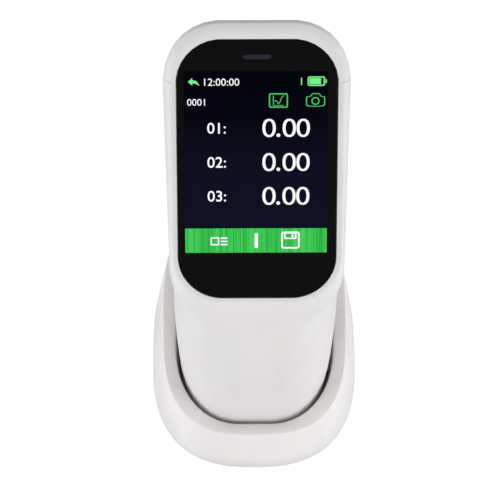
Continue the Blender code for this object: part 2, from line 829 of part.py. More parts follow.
def button_flange(button):
    """The lip that stops the button inside the wall, with the plunger under it."""
    width = button.width + 2 * BUTTON_FLANGE_LIP
    height = button.height + 2 * BUTTON_FLANGE_LIP
    front = PLUNGER_TIP_Y + PLUNGER_LENGTH - GRIP.back
    shape = slab(width, height, width / 2, front - BUTTON_FLANGE, OVERRUN, steps=6)
    return along_y(shape, (0, GRIP.back, SEAT_HEIGHT + button.rise))


def make_button(button, parent):
    """A cap that follows the back's curve, its flange and its plunger, as one piece."""
    centre = Vector((0, GRIP.back, SEAT_HEIGHT + button.rise))
    shape = body_shape(-BUTTON_PROUD, 0, 0)
    shape.transform(Matrix.Translation(-centre))
    part = add_part(button.name, to_mesh(button.name, shape), BUTTON_GREY, parent)
    part.location = centre
    trim(part, button.name + "_outline", button_prism(button, 0))
    lip = add_part(button.name + "_lip", to_mesh("lip", button_flange(button)), BUTTON_GREY)
    trim(lip, button.name + "_lip_front", body_shape(WALL + GAP, FACE_WALL, 0))
    cut(lip, button.name + "_lip_back", body_shape(WALL + GAP + BUTTON_FLANGE, FACE_WALL, 0))
    make_guide(lip)
    combine(part, "UNION", lip)
    tip = PLUNGER_TIP_Y
    stem = PLUNGER_LENGTH + BUTTON_FLANGE * HALF
    plunger = bar_along_y(PLUNGER_RADIUS, tip, tip + stem, 0, centre.z)
    join(part, button.name + "_plunger", plunger)
    return part


def make_guide(part):
    """Turn a part into a cutter."""
    bpy.data.collections["colorimeter"].objects.unlink(part)
    bpy.data.collections["colorimeter_cutters"].objects.link(part)
    part.hide_render = True
    part.display_type = "WIRE"


def port_block(margin, beyond):
    """The charging port's rounded block, from the switch board out through the back."""
    width = PORT_WIDTH + 2 * margin
    height = PORT_HEIGHT + 2 * margin
    length = GRIP.back - BOARD_REAR_Y - GAP
    shape = slab(width, height, height * HALF * PORT_ROUND_SHARE, -length, beyond, steps=4)
    return along_y(shape, (0, GRIP.back, SEAT_HEIGHT + PORT_RISE))


def switch_post_heights():
    """One post under the power button and one over the measure button."""
    port_top = PORT_RISE + PORT_HEIGHT / 2
    button_low = POWER_BUTTON_RISE - POWER_BUTTON_SIZE / 2 - BUTTON_FLANGE_LIP
    low = (port_top + button_low) / 2
    high = SWITCH_BOARD_TOP_RISE - SWITCH_POST_RADIUS
    return (SEAT_HEIGHT + low, SEAT_HEIGHT + high)


def make_switch_board(parent):
    """The upright board behind the buttons, with one switch for each."""
    height = SWITCH_BOARD_TOP_RISE - SWITCH_BOARD_BOTTOM_RISE
    middle = SEAT_HEIGHT + (SWITCH_BOARD_TOP_RISE + SWITCH_BOARD_BOTTOM_RISE) / 2
    centre_y = BOARD_FRONT_Y + BOARD_THICKNESS / 2
    shape = box((SWITCH_BOARD_WIDTH, BOARD_THICKNESS, height), (0, centre_y, middle))
    part = add_part("switch_board", to_mesh("switch_board", shape), BOARD_GREEN, parent)
    for button in (MEASURE_BUTTON, POWER_BUTTON):
        depth = SWITCH_TIP_Y - centre_y
        place = (0, centre_y + depth / 2, SEAT_HEIGHT + button.rise)
        join(part, button.name + "_switch", box((SWITCH_SIZE, depth, SWITCH_SIZE), place))
    return part


def make_charging_port(parent):
    """A socket with a rounded metal shell and a flat tongue inside."""
    z = SEAT_HEIGHT + PORT_RISE
    shape = port_block(0, -PORT_RECESS)
    part = add_part("charging_port", to_mesh("charging_port", shape), PLATED_STEEL, parent)
    length = (GRIP.back - BOARD_REAR_Y) * HALF
    width = PORT_WIDTH - 2 * PORT_SHELL
    height = PORT_HEIGHT - 2 * PORT_SHELL
    hollow = slab(width, height, height * HALF * PORT_ROUND_SHARE, -length, OVERRUN, steps=4)
    cut(part, "port_hollow", along_y(hollow, (0, GRIP.back, z)))
    tongue_width = width - 4 * PORT_TONGUE_HEIGHT
    size = (tongue_width, length, PORT_TONGUE_HEIGHT)
    centre_y = GRIP.back - length / 2 - 2 * PORT_RECESS
    join(part, "port_tongue", box(size, (0, centre_y, z)))
    return part


# Screen, display and boards in the head

def make_screen_glass(parent):
    shape = slab(GLASS_WIDTH, GLASS_LENGTH, GLASS_CORNER, -GLASS_THICKNESS, 0, steps=CORNER_STEPS)
    part = add_part("screen_glass", to_mesh("screen_glass", on_screen(shape)), BLACK_GLASS, parent)
    soften(part, GLASS_EDGE, 1)
    place = GLASS_LENGTH / 2 - INDICATOR_FROM_EDGE
    slot = slab(
        INDICATOR_WIDTH, INDICATOR_HEIGHT, INDICATOR_HEIGHT * HALF * PORT_ROUND_SHARE,
        -GLASS_THICKNESS - OVERRUN, OVERRUN, place, 4,
    )
    cut(part, "indicator_slot", on_screen(slot))
    return part


def make_indicator_window(parent):
    """The bar of dark violet plastic that lights up above the display."""
    place = GLASS_LENGTH / 2 - INDICATOR_FROM_EDGE
    height = INDICATOR_HEIGHT - 2 * GAP
    shape = on_screen(slab(
        INDICATOR_WIDTH - 2 * GAP, height, height * HALF * PORT_ROUND_SHARE,
        -GLASS_THICKNESS, -GLASS_EDGE * HALF, place, 4,
    ))
    name = "indicator_window"
    return add_part(name, to_mesh(name, shape), INDICATOR_VIOLET, parent)


def make_display_module(parent):
    centre = (0, DISPLAY_RISE, DISPLAY_BACK + DISPLAY_THICKNESS / 2)
    shape = on_screen(box((DISPLAY_WIDTH, DISPLAY_LENGTH, DISPLAY_THICKNESS), centre))
    name = "display_module"
    return add_part(name, to_mesh(name, shape), DISPLAY_NAVY, parent)


def make_display_bracket(parent):
    """The plate that holds the display in, with standoffs for the main board."""
    shape = slab(
        BRACKET_WIDTH, BRACKET_LENGTH, BRACKET_CORNER, BRACKET_BACK, BRACKET_FRONT,
        DISPLAY_RISE, 4,
    )
    name = "display_bracket"
    part = add_part(name, to_mesh(name, on_screen(shape)), PLATED_STEEL, parent)
    window = (BRACKET_WIDTH * HALF, BRACKET_LENGTH * HALF, OVERRUN * 2)
    cut(part, "bracket_window", on_screen(box(window, (0, DISPLAY_RISE, BRACKET_BACK))))
    low = BRACKET_BACK - STANDOFF_HEIGHT
    high = BRACKET_BACK + BRACKET_THICKNESS * HALF
    for index, (x, y) in enumerate(standoff_places(), 1):
        post = cylinder(STANDOFF_RADIUS, high - low, (x, y, (high + low) / 2), BOSS_STEPS)
        join(part, f"standoff_{index}", on_screen(post))
    for index, (x, y) in enumerate(bracket_screw_places(), 1):
        radius = SCREW_SHANK_RADIUS + SCREW_CLEARANCE
        hole = cylinder(radius, OVERRUN * 2, (x, y, BRACKET_BACK), HOLE_STEPS)
        cut(part, f"bracket_hole_{index}", on_screen(hole))
    return part


def standoff_places():
    """Where the main board stands on the bracket, near the board's corners."""
    x = BRACKET_WIDTH / 2 - 2 * STANDOFF_RADIUS
    y = MAIN_BOARD_LENGTH / 2 - 2 * STANDOFF_RADIUS
    return [(side * x, DISPLAY_RISE + end * y) for end in (-1, 1) for side in (-1, 1)]


def make_main_board(parent):
    """The main circuit board, parallel to the screen, with its larger chips."""
    top = BRACKET_BACK - STANDOFF_HEIGHT - GAP
    centre = (0, DISPLAY_RISE, top - BOARD_THICKNESS / 2)
    shape = on_screen(box((BRACKET_WIDTH, MAIN_BOARD_LENGTH, BOARD_THICKNESS), centre))
    part = add_part("main_board", to_mesh("main_board", shape), BOARD_GREEN, parent)
    depth = CHIP_HEIGHT + BOARD_THICKNESS / 2
    for index, (x_share, y_share, width_share, length_share) in enumerate(CHIP_SHARES, 1):
        size = (BRACKET_WIDTH * width_share, MAIN_BOARD_LENGTH * length_share, depth)
        place = (
            BRACKET_WIDTH * x_share, centre[1] + MAIN_BOARD_LENGTH * y_share,
            centre[2] - depth / 2,
        )
        join(part, f"chip_{index}", on_screen(box(size, place)))
    return part


def make_antenna_board(parent):
    """The small board under the top cap, behind the end of the display bracket."""
    place = DISPLAY_RISE + BRACKET_LENGTH / 2 - ANTENNA_LENGTH / 2
    centre = (0, place, BRACKET_BACK - GAP - ANTENNA_THICKNESS / 2)
    shape = on_screen(box((ANTENNA_WIDTH, ANTENNA_LENGTH, ANTENNA_THICKNESS), centre))
    name = "antenna_board"
    return add_part(name, to_mesh(name, shape), BOARD_GREEN, parent)


# Optics in the grip

AXIS = (0, BODY_CENTRE_Y)
COVER_TOP = SEAT_HEIGHT + COVER_THICKNESS
APERTURE_LOW = SEAT_HEIGHT - APERTURE_PROUD
SPHERE_RADIUS = SPHERE_INNER_RADIUS + SPHERE_WALL
SPHERE_Z = COVER_TOP + GAP + SPHERE_FOOT_DROP
SPHERE_TOP = SPHERE_Z + SPHERE_BOSS_RISE
PLATE_TOP = SPHERE_TOP + GAP + CAMERA_HEIGHT + GAP
LAMP_RING_RADIUS = SPHERE_RADIUS + GAP + LAMP_RING_WIDTH
POST_PLACE = (LAMP_RING_RADIUS + POST_CLEARANCE + POST_RADIUS) / math.sqrt(2)
POST_PLACES = [
    (side * POST_PLACE, BODY_CENTRE_Y + end * POST_PLACE) for end in (-1, 1) for side in (-1, 1)
]
HEAD_RECESS = SCREW_HEAD_HEIGHT + GAP
CARRIED_WIDTH = FRAME_WIDTH - 2 * FRAME_MARGIN
BATTERY_REAR_Y = BOARD_FRONT_Y - GAP
FRAME_REAR_Y = BATTERY_REAR_Y - BATTERY_THICKNESS - GAP
MODULE_REAR_Y = FRAME_REAR_Y - FRAME_THICKNESS - GAP


def add_turned(name, profile, finish, parent, location, steps=ROUND_STEPS):
    """A turned part, with its own origin on its axis."""
    part = add_part(name, turned_mesh(name, profile), finish, parent)
    part.location = location
    turn_round(part, steps)
    return part


def upright_hole(radius, low, high, place, steps=BOSS_STEPS):
    return cylinder(radius, high - low, (*place, (low + high) / 2), steps)


def make_bottom_cover(parent):
    """Closes the body from below: a recess for the aperture's flange, and four screws."""
    section = shrink(FOOT, WALL + GAP)
    shape = skin([ring(section, Plane(SEAT_HEIGHT, 0)), ring(section, Plane(COVER_TOP, 0))])
    part = add_part("bottom_cover", to_mesh("bottom_cover", shape), INNER_BLACK, parent)
    low = SEAT_HEIGHT - OVERRUN
    recess_top = APERTURE_LOW + APERTURE_FLANGE_HEIGHT + GAP
    recess = upright_hole(APERTURE_FLANGE_RADIUS + GAP, low, recess_top, AXIS, ROUND_STEPS)
    cut(part, "aperture_recess", recess)
    radius = APERTURE_NECK_RADIUS + GAP
    hole = upright_hole(radius, low, COVER_TOP + OVERRUN, AXIS, ROUND_STEPS)
    cut(part, "aperture_hole", hole)
    for index, place in enumerate(POST_PLACES, 1):
        head = upright_hole(SCREW_HEAD_RADIUS + GAP, low, SEAT_HEIGHT + HEAD_RECESS, place)
        cut(part, f"cover_recess_{index}", head)
        radius = SCREW_SHANK_RADIUS + SCREW_CLEARANCE
        shank = upright_hole(radius, low, COVER_TOP + OVERRUN, place, HOLE_STEPS)
        cut(part, f"cover_hole_{index}", shank)
    return part


def make_measuring_aperture(parent):
    """The ring that meets the sample. It twists in its recess, by two finger holes."""
    top = APERTURE_FLANGE_HEIGHT + APERTURE_NECK_HEIGHT
    profile = [
        (APERTURE_NECK_RADIUS, top),
        (APERTURE_NECK_RADIUS, APERTURE_FLANGE_HEIGHT),
        (APERTURE_FLANGE_RADIUS, APERTURE_FLANGE_HEIGHT),
        (APERTURE_FLANGE_RADIUS, 0),
        (APERTURE_RADIUS, 0),
        (APERTURE_RADIUS, APERTURE_LIP),
        (APERTURE_MOUTH_RADIUS, top),
    ]
    place = (*AXIS, APERTURE_LOW)
    part = add_turned("measuring_aperture", profile, INNER_BLACK, parent, place)
    for index, side in enumerate((-1, 1), 1):
        spot = (side * APERTURE_GRIP_PLACE, BODY_CENTRE_Y)
        depth = APERTURE_LOW + APERTURE_GRIP_DEPTH
        low = APERTURE_LOW - OVERRUN
        hole = upright_hole(APERTURE_GRIP_RADIUS, low, depth, spot, HOLE_STEPS)
        cut(part, f"finger_hole_{index}", hole)
    return part


def make_sphere_lower(parent):
    """The lower half of the integrating sphere, with its port and the foot round it."""
    outer = SPHERE_RADIUS
    foot = SPHERE_PORT_RADIUS + SPHERE_FOOT_WIDTH
    edge = outer + SPHERE_FLANGE_REACH
    under = -SPHERE_FLANGE_THICKNESS
    start = math.degrees(math.asin(under / outer))
    stop = -math.degrees(math.acos(foot / outer))
    port = -math.degrees(math.acos(SPHERE_PORT_RADIUS / SPHERE_INNER_RADIUS))
    profile = [(edge, -GAP / 2), (edge, under)]
    profile += arc(outer, start, stop, 4)
    profile += [(foot, -SPHERE_FOOT_DROP), (SPHERE_PORT_RADIUS, -SPHERE_FOOT_DROP)]
    profile += arc(SPHERE_INNER_RADIUS, port, 0, 5)[:-1]
    profile.append((SPHERE_INNER_RADIUS, -GAP / 2))
    place = (*AXIS, SPHERE_Z)
    return add_turned("sphere_lower", profile, SPHERE_WHITE, parent, place, OPTICS_STEPS)


def make_sphere_upper(parent):
    """The upper half, with a boss on top for the lens tube and the camera."""
    outer = SPHERE_RADIUS
    edge = outer + SPHERE_FLANGE_REACH
    over = SPHERE_FLANGE_THICKNESS
    start = math.degrees(math.acos(SPHERE_BOSS_RADIUS / outer))
    stop = math.degrees(math.asin(over / outer))
    profile = [(0, SPHERE_BOSS_RISE), (SPHERE_BOSS_RADIUS, SPHERE_BOSS_RISE)]
    profile += arc(outer, start, stop, 5)
    profile += [(edge, over), (edge, GAP / 2), (SPHERE_INNER_RADIUS, GAP / 2)]
    profile += arc(SPHERE_INNER_RADIUS, 0, 90, 7)[1:-1]
    profile.append((0, SPHERE_INNER_RADIUS))
    place = (*AXIS, SPHERE_Z)
    part = add_turned("sphere_upper", profile, SPHERE_WHITE, parent, place, OPTICS_STEPS)
    cut(part, "lens_hole", lens_bar(LENS_TUBE_RADIUS + GAP, 0, SPHERE_BOSS_RISE * 2))
    spot = (0, BODY_CENTRE_Y - CAMERA_SETBACK)
    hole = upright_hole(CAMERA_BARREL_RADIUS + GAP, SPHERE_Z, SPHERE_TOP + OVERRUN, spot)
    cut(part, "camera_hole", hole)
    return part


def lens_bar(radius, start, stop):
    """A bar on the lens's axis, which leans back from the sphere's middle."""
    shape = cylinder(radius, stop - start, (0, 0, (start + stop) / 2), BOSS_STEPS)
    lean = Matrix.Rotation(-LENS_TUBE_TILT, 4, "X")
    shape.transform(Matrix.Translation((*AXIS, SPHERE_Z)) @ lean)
    return shape


def make_lens_tube(parent):
    start = SPHERE_INNER_RADIUS + SPHERE_WALL * HALF
    stop = start + LENS_TUBE_LENGTH
    shape = lens_bar(LENS_TUBE_RADIUS, start, stop)
    part = add_part("lens_tube", to_mesh("lens_tube", shape), INNER_BLACK, parent)
    cut(part, "lens_bore", lens_bar(LENS_TUBE_BORE, start - OVERRUN, stop + OVERRUN))
    return part


def make_camera_module(parent):
    """The sample camera: its block on the sphere's boss, its barrel down through it."""
    spot = (0, BODY_CENTRE_Y - CAMERA_SETBACK)
    low = SPHERE_TOP + GAP
    size = (CAMERA_WIDTH, CAMERA_DEPTH, CAMERA_HEIGHT)
    shape = box(size, (*spot, low + CAMERA_HEIGHT / 2))
    part = add_part("camera_module", to_mesh("camera_module", shape), INNER_BLACK, parent)
    barrel_top = low + CAMERA_HEIGHT * HALF
    barrel = upright_hole(CAMERA_BARREL_RADIUS, low - CAMERA_BARREL_LENGTH, barrel_top, spot)
    join(part, "camera_barrel", barrel)
    return part


def make_lamp_board(parent):
    """The ring board of lamps round the sphere, on its flange."""
    low = SPHERE_FLANGE_THICKNESS + GAP
    high = low + BOARD_THICKNESS
    inner = SPHERE_RADIUS + GAP
    profile = [
        (LAMP_RING_RADIUS, high), (LAMP_RING_RADIUS, low), (inner, low), (inner, high),
    ]
    part = add_turned("lamp_board", profile, BOARD_GREEN, parent, (*AXIS, SPHERE_Z))
    for index in range(LAMP_COUNT):
        turn = 2 * math.pi * index / LAMP_COUNT
        reach = inner + LAMP_RING_WIDTH / 2
        height = LAMP_HEIGHT + BOARD_THICKNESS / 2
        centre = (
            reach * math.cos(turn), BODY_CENTRE_Y + reach * math.sin(turn),
            SPHERE_Z + high + LAMP_HEIGHT - height / 2,
        )
        join(part, f"lamp_{index + 1}", box((LAMP_SIZE, LAMP_SIZE, height), centre))
    return part


def make_optics_chassis(parent):
    """A plate on four posts over the sphere, with an upright frame for what it carries."""
    section = shrink(GRIP, WALL + PLATE_MARGIN)
    low = PLATE_TOP - PLATE_THICKNESS
    shape = skin([ring(section, Plane(low, 0), 8), ring(section, Plane(PLATE_TOP, 0), 8)])
    name = "optics_chassis"
    part = add_part(name, to_mesh(name, shape), DARK_STEEL, parent)
    post_low = COVER_TOP + GAP
    for index, place in enumerate(POST_PLACES, 1):
        post = upright_hole(POST_RADIUS, post_low, low + PLATE_THICKNESS * HALF, place)
        join(part, f"post_{index}", post)
    bite = PLATE_THICKNESS * HALF
    size = (FRAME_WIDTH, FRAME_THICKNESS, FRAME_HEIGHT + bite)
    centre_y = FRAME_REAR_Y - FRAME_THICKNESS / 2
    frame = box(size, (0, centre_y, PLATE_TOP + (FRAME_HEIGHT - bite) / 2))
    join(part, "upright_frame", frame)
    top = PLATE_TOP + OVERRUN
    hole = upright_hole(PLATE_HOLE_RADIUS, low - OVERRUN, top, AXIS, ROUND_STEPS)
    cut(part, "plate_hole", hole)
    for index, place in enumerate(POST_PLACES, 1):
        radius = SCREW_SHANK_RADIUS + SCREW_CLEARANCE
        tip = SEAT_HEIGHT + SCREW_HEAD_HEIGHT + SCREW_LENGTH + GAP
        pilot = upright_hole(radius, post_low - OVERRUN, tip, place, HOLE_STEPS)
        cut(part, f"post_pilot_{index}", pilot)
    return part


def make_spectrometer_module(parent):
    """The closed optical block over the lens tube, with its cover plate on top."""
    low = PLATE_TOP + GAP
    centre_y = MODULE_REAR_Y - MODULE_DEPTH / 2
    size = (CARRIED_WIDTH, MODULE_DEPTH, MODULE_HEIGHT)
    shape = box(size, (0, centre_y, low + MODULE_HEIGHT / 2))
    name = "spectrometer_module"
    part = add_part(name, to_mesh(name, shape), DARK_STEEL, parent)
    soften(part, MODULE_EDGE, 1)
    return part


def make_optics_board(parent):
    """The board on the front of the spectrometer, with its detector's back."""
    rear = MODULE_REAR_Y - MODULE_DEPTH - GAP
    low = PLATE_TOP + GAP
    size = (OPTICS_BOARD_WIDTH, BOARD_THICKNESS, OPTICS_BOARD_HEIGHT)
    shape = box(size, (0, rear - BOARD_THICKNESS / 2, low + OPTICS_BOARD_HEIGHT / 2))
    part = add_part("optics_board", to_mesh("optics_board", shape), BOARD_GREEN, parent)
    depth = CHIP_HEIGHT + BOARD_THICKNESS / 2
    chip = (OPTICS_BOARD_WIDTH * HALF, depth, OPTICS_BOARD_HEIGHT * HALF * HALF)
    chip_y = rear - BOARD_THICKNESS - CHIP_HEIGHT + depth / 2
    join(part, "detector_back", box(chip, (0, chip_y, low + MODULE_HEIGHT / 2)))
    return part


def make_battery(parent):
    low = PLATE_TOP + GAP
    centre_y = BATTERY_REAR_Y - BATTERY_THICKNESS / 2
    shape = box(
        (CARRIED_WIDTH, BATTERY_THICKNESS, BATTERY_HEIGHT),
        (0, centre_y, low + BATTERY_HEIGHT / 2),
    )
    part = add_part("battery", to_mesh("battery", shape), CELL_BLUE, parent)
    soften(part, BATTERY_ROUND, 2)
    return part


# Screws

def screw_mesh(length):
    """A flat head below zero and a shank above it, pointing up."""
    profile = [
        (0, length),
        (SCREW_SHANK_RADIUS, length),
        (SCREW_SHANK_RADIUS, 0),
        (SCREW_HEAD_RADIUS, 0),
        (SCREW_HEAD_RADIUS, -SCREW_HEAD_HEIGHT),
        (0, -SCREW_HEAD_HEIGHT),
    ]
    return turned_mesh("screw", profile)


def add_screws(name, places, length, parent):
    """Like screws, which share one mesh. A place is a matrix that points +Z at the tip."""
    mesh = screw_mesh(length)
    for index, place in enumerate(places, 1):
        part = add_part(f"{name}_{index}", mesh, PLATED_STEEL, parent)
        part.matrix_local = place
        turn_round(part, HOLE_STEPS)


def bottom_screw_places():
    z = SEAT_HEIGHT + SCREW_HEAD_HEIGHT
    return [Matrix.Translation((x, y, z)) for x, y in POST_PLACES]


def housing_screw_matrices():
    turn = Matrix.Rotation(math.pi / 2, 4, "X")
    return [
        Matrix.Translation((x, HOUSING_HEAD_Y, z)) @ turn for x, z in housing_boss_places()
    ]


def bracket_screw_matrices():
    z = BRACKET_BACK - GAP
    return [SCREEN_FRAME @ Matrix.Translation((x, y, z)) for x, y in bracket_screw_places()]


# Cradle

def egg_section(width, front_reach, back_reach, power, back_power):
    """A section about the cradle's widest line, with a squarer back than front."""
    return Section(
        half_width=width / 2,
        front=WIDEST_Y - front_reach,
        back=WIDEST_Y + back_reach,
        corner_width=width / 2,
        corner_front=front_reach,
        corner_back=back_reach,
        taper=0,
        power=power,
        back_power=back_power,
    )


CRADLE_BASE = egg_section(
    CRADLE_WIDTH, CRADLE_FRONT_REACH, CRADLE_BACK_REACH, CRADLE_FRONT_POWER, CRADLE_BACK_POWER,
)
RIM = egg_section(
    RIM_WIDTH, RIM_FRONT_REACH, RIM_BACK_REACH, RIM_FRONT_POWER, RIM_BACK_POWER,
)
RIM_SLOPE = math.tan(RIM_TILT)
RIM_PLANE = Plane(RIM_FRONT_HEIGHT - RIM_SLOPE * RIM.front, RIM_SLOPE)
SOCKET = shrink(mix(GRIP, FOOT, RIM_DRAFT_SHARE), -SOCKET_CLEARANCE)
SOCKET_FOOT = shrink(FOOT, -SOCKET_CLEARANCE)
BASE_PLATE_TOP = CRADLE_LIFT + BASE_PLATE_THICKNESS
FLOOR_LOW = BASE_PLATE_TOP + GAP
FLOOR_TOP = FLOOR_LOW + FLOOR_THICKNESS
HOLDER_RADIUS = TILE_RADIUS + GAP + HOLDER_WALL
TILE_TOP = APERTURE_LOW - GAP
TILE_LOW = TILE_TOP - TILE_THICKNESS
HOLDER_LOW = TILE_LOW - GAP - HOLDER_FLOOR


def circle_section(radius):
    return oval_section(2 * radius, 2 * radius, BODY_CENTRE_Y, 2)


def cradle_ring(section, plane):
    return ring(section, plane, CRADLE_STEPS)


def cradle_rings():
    """Up the outside, over the rim, down the socket, across its floor and back inside."""
    low = Plane(CRADLE_LIFT, 0)
    rings = [
        cradle_ring(shrink(CRADLE_BASE, CRADLE_EDGE), low),
        cradle_ring(CRADLE_BASE, lowered(low, -CRADLE_EDGE)),
    ]
    wall_steps = 3
    for step in range(1, wall_steps + 1):
        share = step / wall_steps
        plane = mix(low, lowered(RIM_PLANE, RIM_ROUND), share)
        rings.append(cradle_ring(mix(CRADLE_BASE, RIM, share), plane))
    for turn in (math.pi / 4, math.pi / 2):
        inset = RIM_ROUND * (1 - math.cos(turn))
        drop = RIM_ROUND * (1 - math.sin(turn))
        rings.append(cradle_ring(shrink(RIM, inset), lowered(RIM_PLANE, drop)))
    edge = lowered(RIM_PLANE, RING_DROP)
    rings.append(cradle_ring(shrink(SOCKET, -RIM_ROUND), edge))
    rings.append(cradle_ring(SOCKET, lowered(edge, RIM_ROUND)))
    floor = Plane(FLOOR_TOP, 0)
    rings.append(cradle_ring(SOCKET_FOOT, lowered(floor, -FLOOR_FILLET)))
    rings.append(cradle_ring(shrink(SOCKET_FOOT, FLOOR_FILLET), floor))
    hole = circle_section(HOLDER_RADIUS + GAP)
    under = Plane(FLOOR_LOW, 0)
    rings.append(cradle_ring(hole, floor))
    rings.append(cradle_ring(hole, under))
    behind = shrink(SOCKET, -CRADLE_WALL)
    rings.append(cradle_ring(behind, under))
    inner_top = lowered(RIM_PLANE, RING_DROP + CRADLE_WALL)
    rings.append(cradle_ring(behind, inner_top))
    rings.append(cradle_ring(shrink(RIM, CRADLE_WALL), lowered(RIM_PLANE, CRADLE_WALL)))
    share = 1 / wall_steps
    rings.append(cradle_ring(shrink(mix(CRADLE_BASE, RIM, share), CRADLE_WALL), mix(low, RIM_PLANE, share)))
    rebate = shrink(CRADLE_BASE, CRADLE_WALL)
    rings.append(cradle_ring(rebate, under))
    rings.append(cradle_ring(rebate, low))
    return rings


def corner_places(inset):
    """The four points at the cradle's corners, this far inside its outline."""
    return [(x, y) for x, y, z in ring(shrink(CRADLE_BASE, inset), Plane(0, 0), 1)]


CRADLE_SCREW_PLACES = corner_places(CRADLE_WALL + BOSS_RADIUS - BOSS_BITE * HALF)


def make_cradle_shell():
    shape = skin(cradle_rings(), joined=True)
    part = add_part("cradle_shell", to_mesh("cradle_shell", shape), CRADLE_WHITE)
    top = FLOOR_LOW + CRADLE_BOSS_HEIGHT
    for index, place in enumerate(CRADLE_SCREW_PLACES, 1):
        boss = upright_hole(BOSS_RADIUS, FLOOR_LOW, top, place)
        join(part, f"cradle_boss_{index}", boss)
        radius = SCREW_SHANK_RADIUS + SCREW_CLEARANCE
        tip = CRADLE_LIFT + SCREW_HEAD_HEIGHT + SCREW_LENGTH + GAP
        pilot = upright_hole(radius, CRADLE_LIFT, tip, place, HOLE_STEPS)
        cut(part, f"cradle_pilot_{index}", pilot)
    return part


def make_cradle_base_plate():
    """Closes the cradle from below: recesses for feet and screws, a well for the tile."""
    section = shrink(CRADLE_BASE, CRADLE_WALL + GAP)
    shape = skin([
        ring(section, Plane(CRADLE_LIFT, 0)), ring(section, Plane(BASE_PLATE_TOP, 0)),
    ])
    name = "cradle_base_plate"
    part = add_part(name, to_mesh(name, shape), CRADLE_WHITE)
    well_low = HOLDER_LOW - GAP
    high = BASE_PLATE_TOP + OVERRUN
    well = upright_hole(HOLDER_RADIUS + GAP, well_low, high, AXIS, ROUND_STEPS)
    cut(part, "tile_well", well)
    low = CRADLE_LIFT - OVERRUN
    for index, place in enumerate(corner_places(FOOT_INSET), 1):
        foot = upright_hole(FOOT_RADIUS + GAP, low, CRADLE_LIFT + FOOT_RECESS, place)
        cut(part, f"foot_recess_{index}", foot)
    for index, place in enumerate(CRADLE_SCREW_PLACES, 1):
        head = upright_hole(SCREW_HEAD_RADIUS + GAP, low, CRADLE_LIFT + HEAD_RECESS, place)
        cut(part, f"base_recess_{index}", head)
        radius = SCREW_SHANK_RADIUS + SCREW_CLEARANCE
        cut(part, f"base_hole_{index}", upright_hole(radius, low, high, place, HOLE_STEPS))
    return part


def make_feet():
    """Four rubber feet that share one mesh."""
    top = CRADLE_LIFT + FOOT_RECESS - GAP
    edge = FOOT_RADIUS - FOOT_EDGE
    profile = [(0, top), (FOOT_RADIUS, top), (FOOT_RADIUS, FOOT_EDGE), (edge, 0), (0, 0)]
    mesh = turned_mesh("foot", profile)
    for index, place in enumerate(corner_places(FOOT_INSET), 1):
        part = add_part(f"cradle_foot_{index}", mesh, RUBBER_GREY)
        part.location = (*place, 0)
        turn_round(part, BOSS_STEPS)


def make_tile_holder():
    """The cup that centres the calibration tile under the aperture."""
    floor = HOLDER_FLOOR
    top = TILE_TOP + HOLDER_RISE - HOLDER_LOW
    inner = TILE_RADIUS + GAP
    profile = [
        (0, floor), (inner, floor), (inner, top), (HOLDER_RADIUS, top), (HOLDER_RADIUS, 0), (0, 0),
    ]
    add_turned("tile_holder", profile, INNER_BLACK, None, (*AXIS, HOLDER_LOW))


def make_calibration_tile():
    edge = TILE_RADIUS - TILE_EDGE
    profile = [
        (0, TILE_THICKNESS), (edge, TILE_THICKNESS),
        (TILE_RADIUS, TILE_THICKNESS - TILE_EDGE), (TILE_RADIUS, 0), (0, 0),
    ]
    add_turned("calibration_tile", profile, TILE_WHITE, None, (*AXIS, TILE_LOW))


def make_cradle():
    make_cradle_shell()
    make_cradle_base_plate()
    make_feet()
    make_tile_holder()
    make_calibration_tile()
    z = CRADLE_LIFT + SCREW_HEAD_HEIGHT
    places = [Matrix.Translation((x, y, z)) for x, y in CRADLE_SCREW_PLACES]
    add_screws("cradle_screw", places, SCREW_LENGTH, None)


def make_instrument():
    """Everything that lifts out of the cradle together, under one empty."""
    lift = bpy.data.objects.new("instrument_lift", None)
    bpy.data.collections["colorimeter"].objects.link(lift)
    make_front_shell(lift)
    make_rear_shell(lift)
    make_top_cap(lift)
    make_screen_bezel(lift)
    make_screen_glass(lift)
    make_indicator_window(lift)
    make_display_module(lift)
    make_display_bracket(lift)
    make_main_board(lift)
    make_antenna_board(lift)
    make_bottom_cover(lift)
    make_measuring_aperture(lift)
    make_sphere_lower(lift)
    make_sphere_upper(lift)
    make_lamp_board(lift)
    make_lens_tube(lift)
    make_camera_module(lift)
    make_optics_chassis(lift)
    make_spectrometer_module(lift)
    make_optics_board(lift)
    make_battery(lift)
    make_button(MEASURE_BUTTON, lift)
    make_button(POWER_BUTTON, lift)
    make_switch_board(lift)
    make_charging_port(lift)
    add_screws("bottom_screw", bottom_screw_places(), SCREW_LENGTH, lift)
    add_screws("housing_screw", housing_screw_matrices(), SCREW_LENGTH, lift)
    add_screws("bracket_screw", bracket_screw_matrices(), SHORT_SCREW_LENGTH - GAP, lift)


def main():
    start_empty()
    make_cradle()
    make_instrument()


main()
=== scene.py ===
"""Looks for a handheld colour meter that stands in its calibration cradle.

Metres, +Z up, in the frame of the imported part. Its pieces get their materials and their
shading here. The picture on the display, the sign on the power button and the strip
round the glass are pieces of the scene.
"""
import json
import math

import bmesh
import bpy
from mathutils import Matrix, Vector

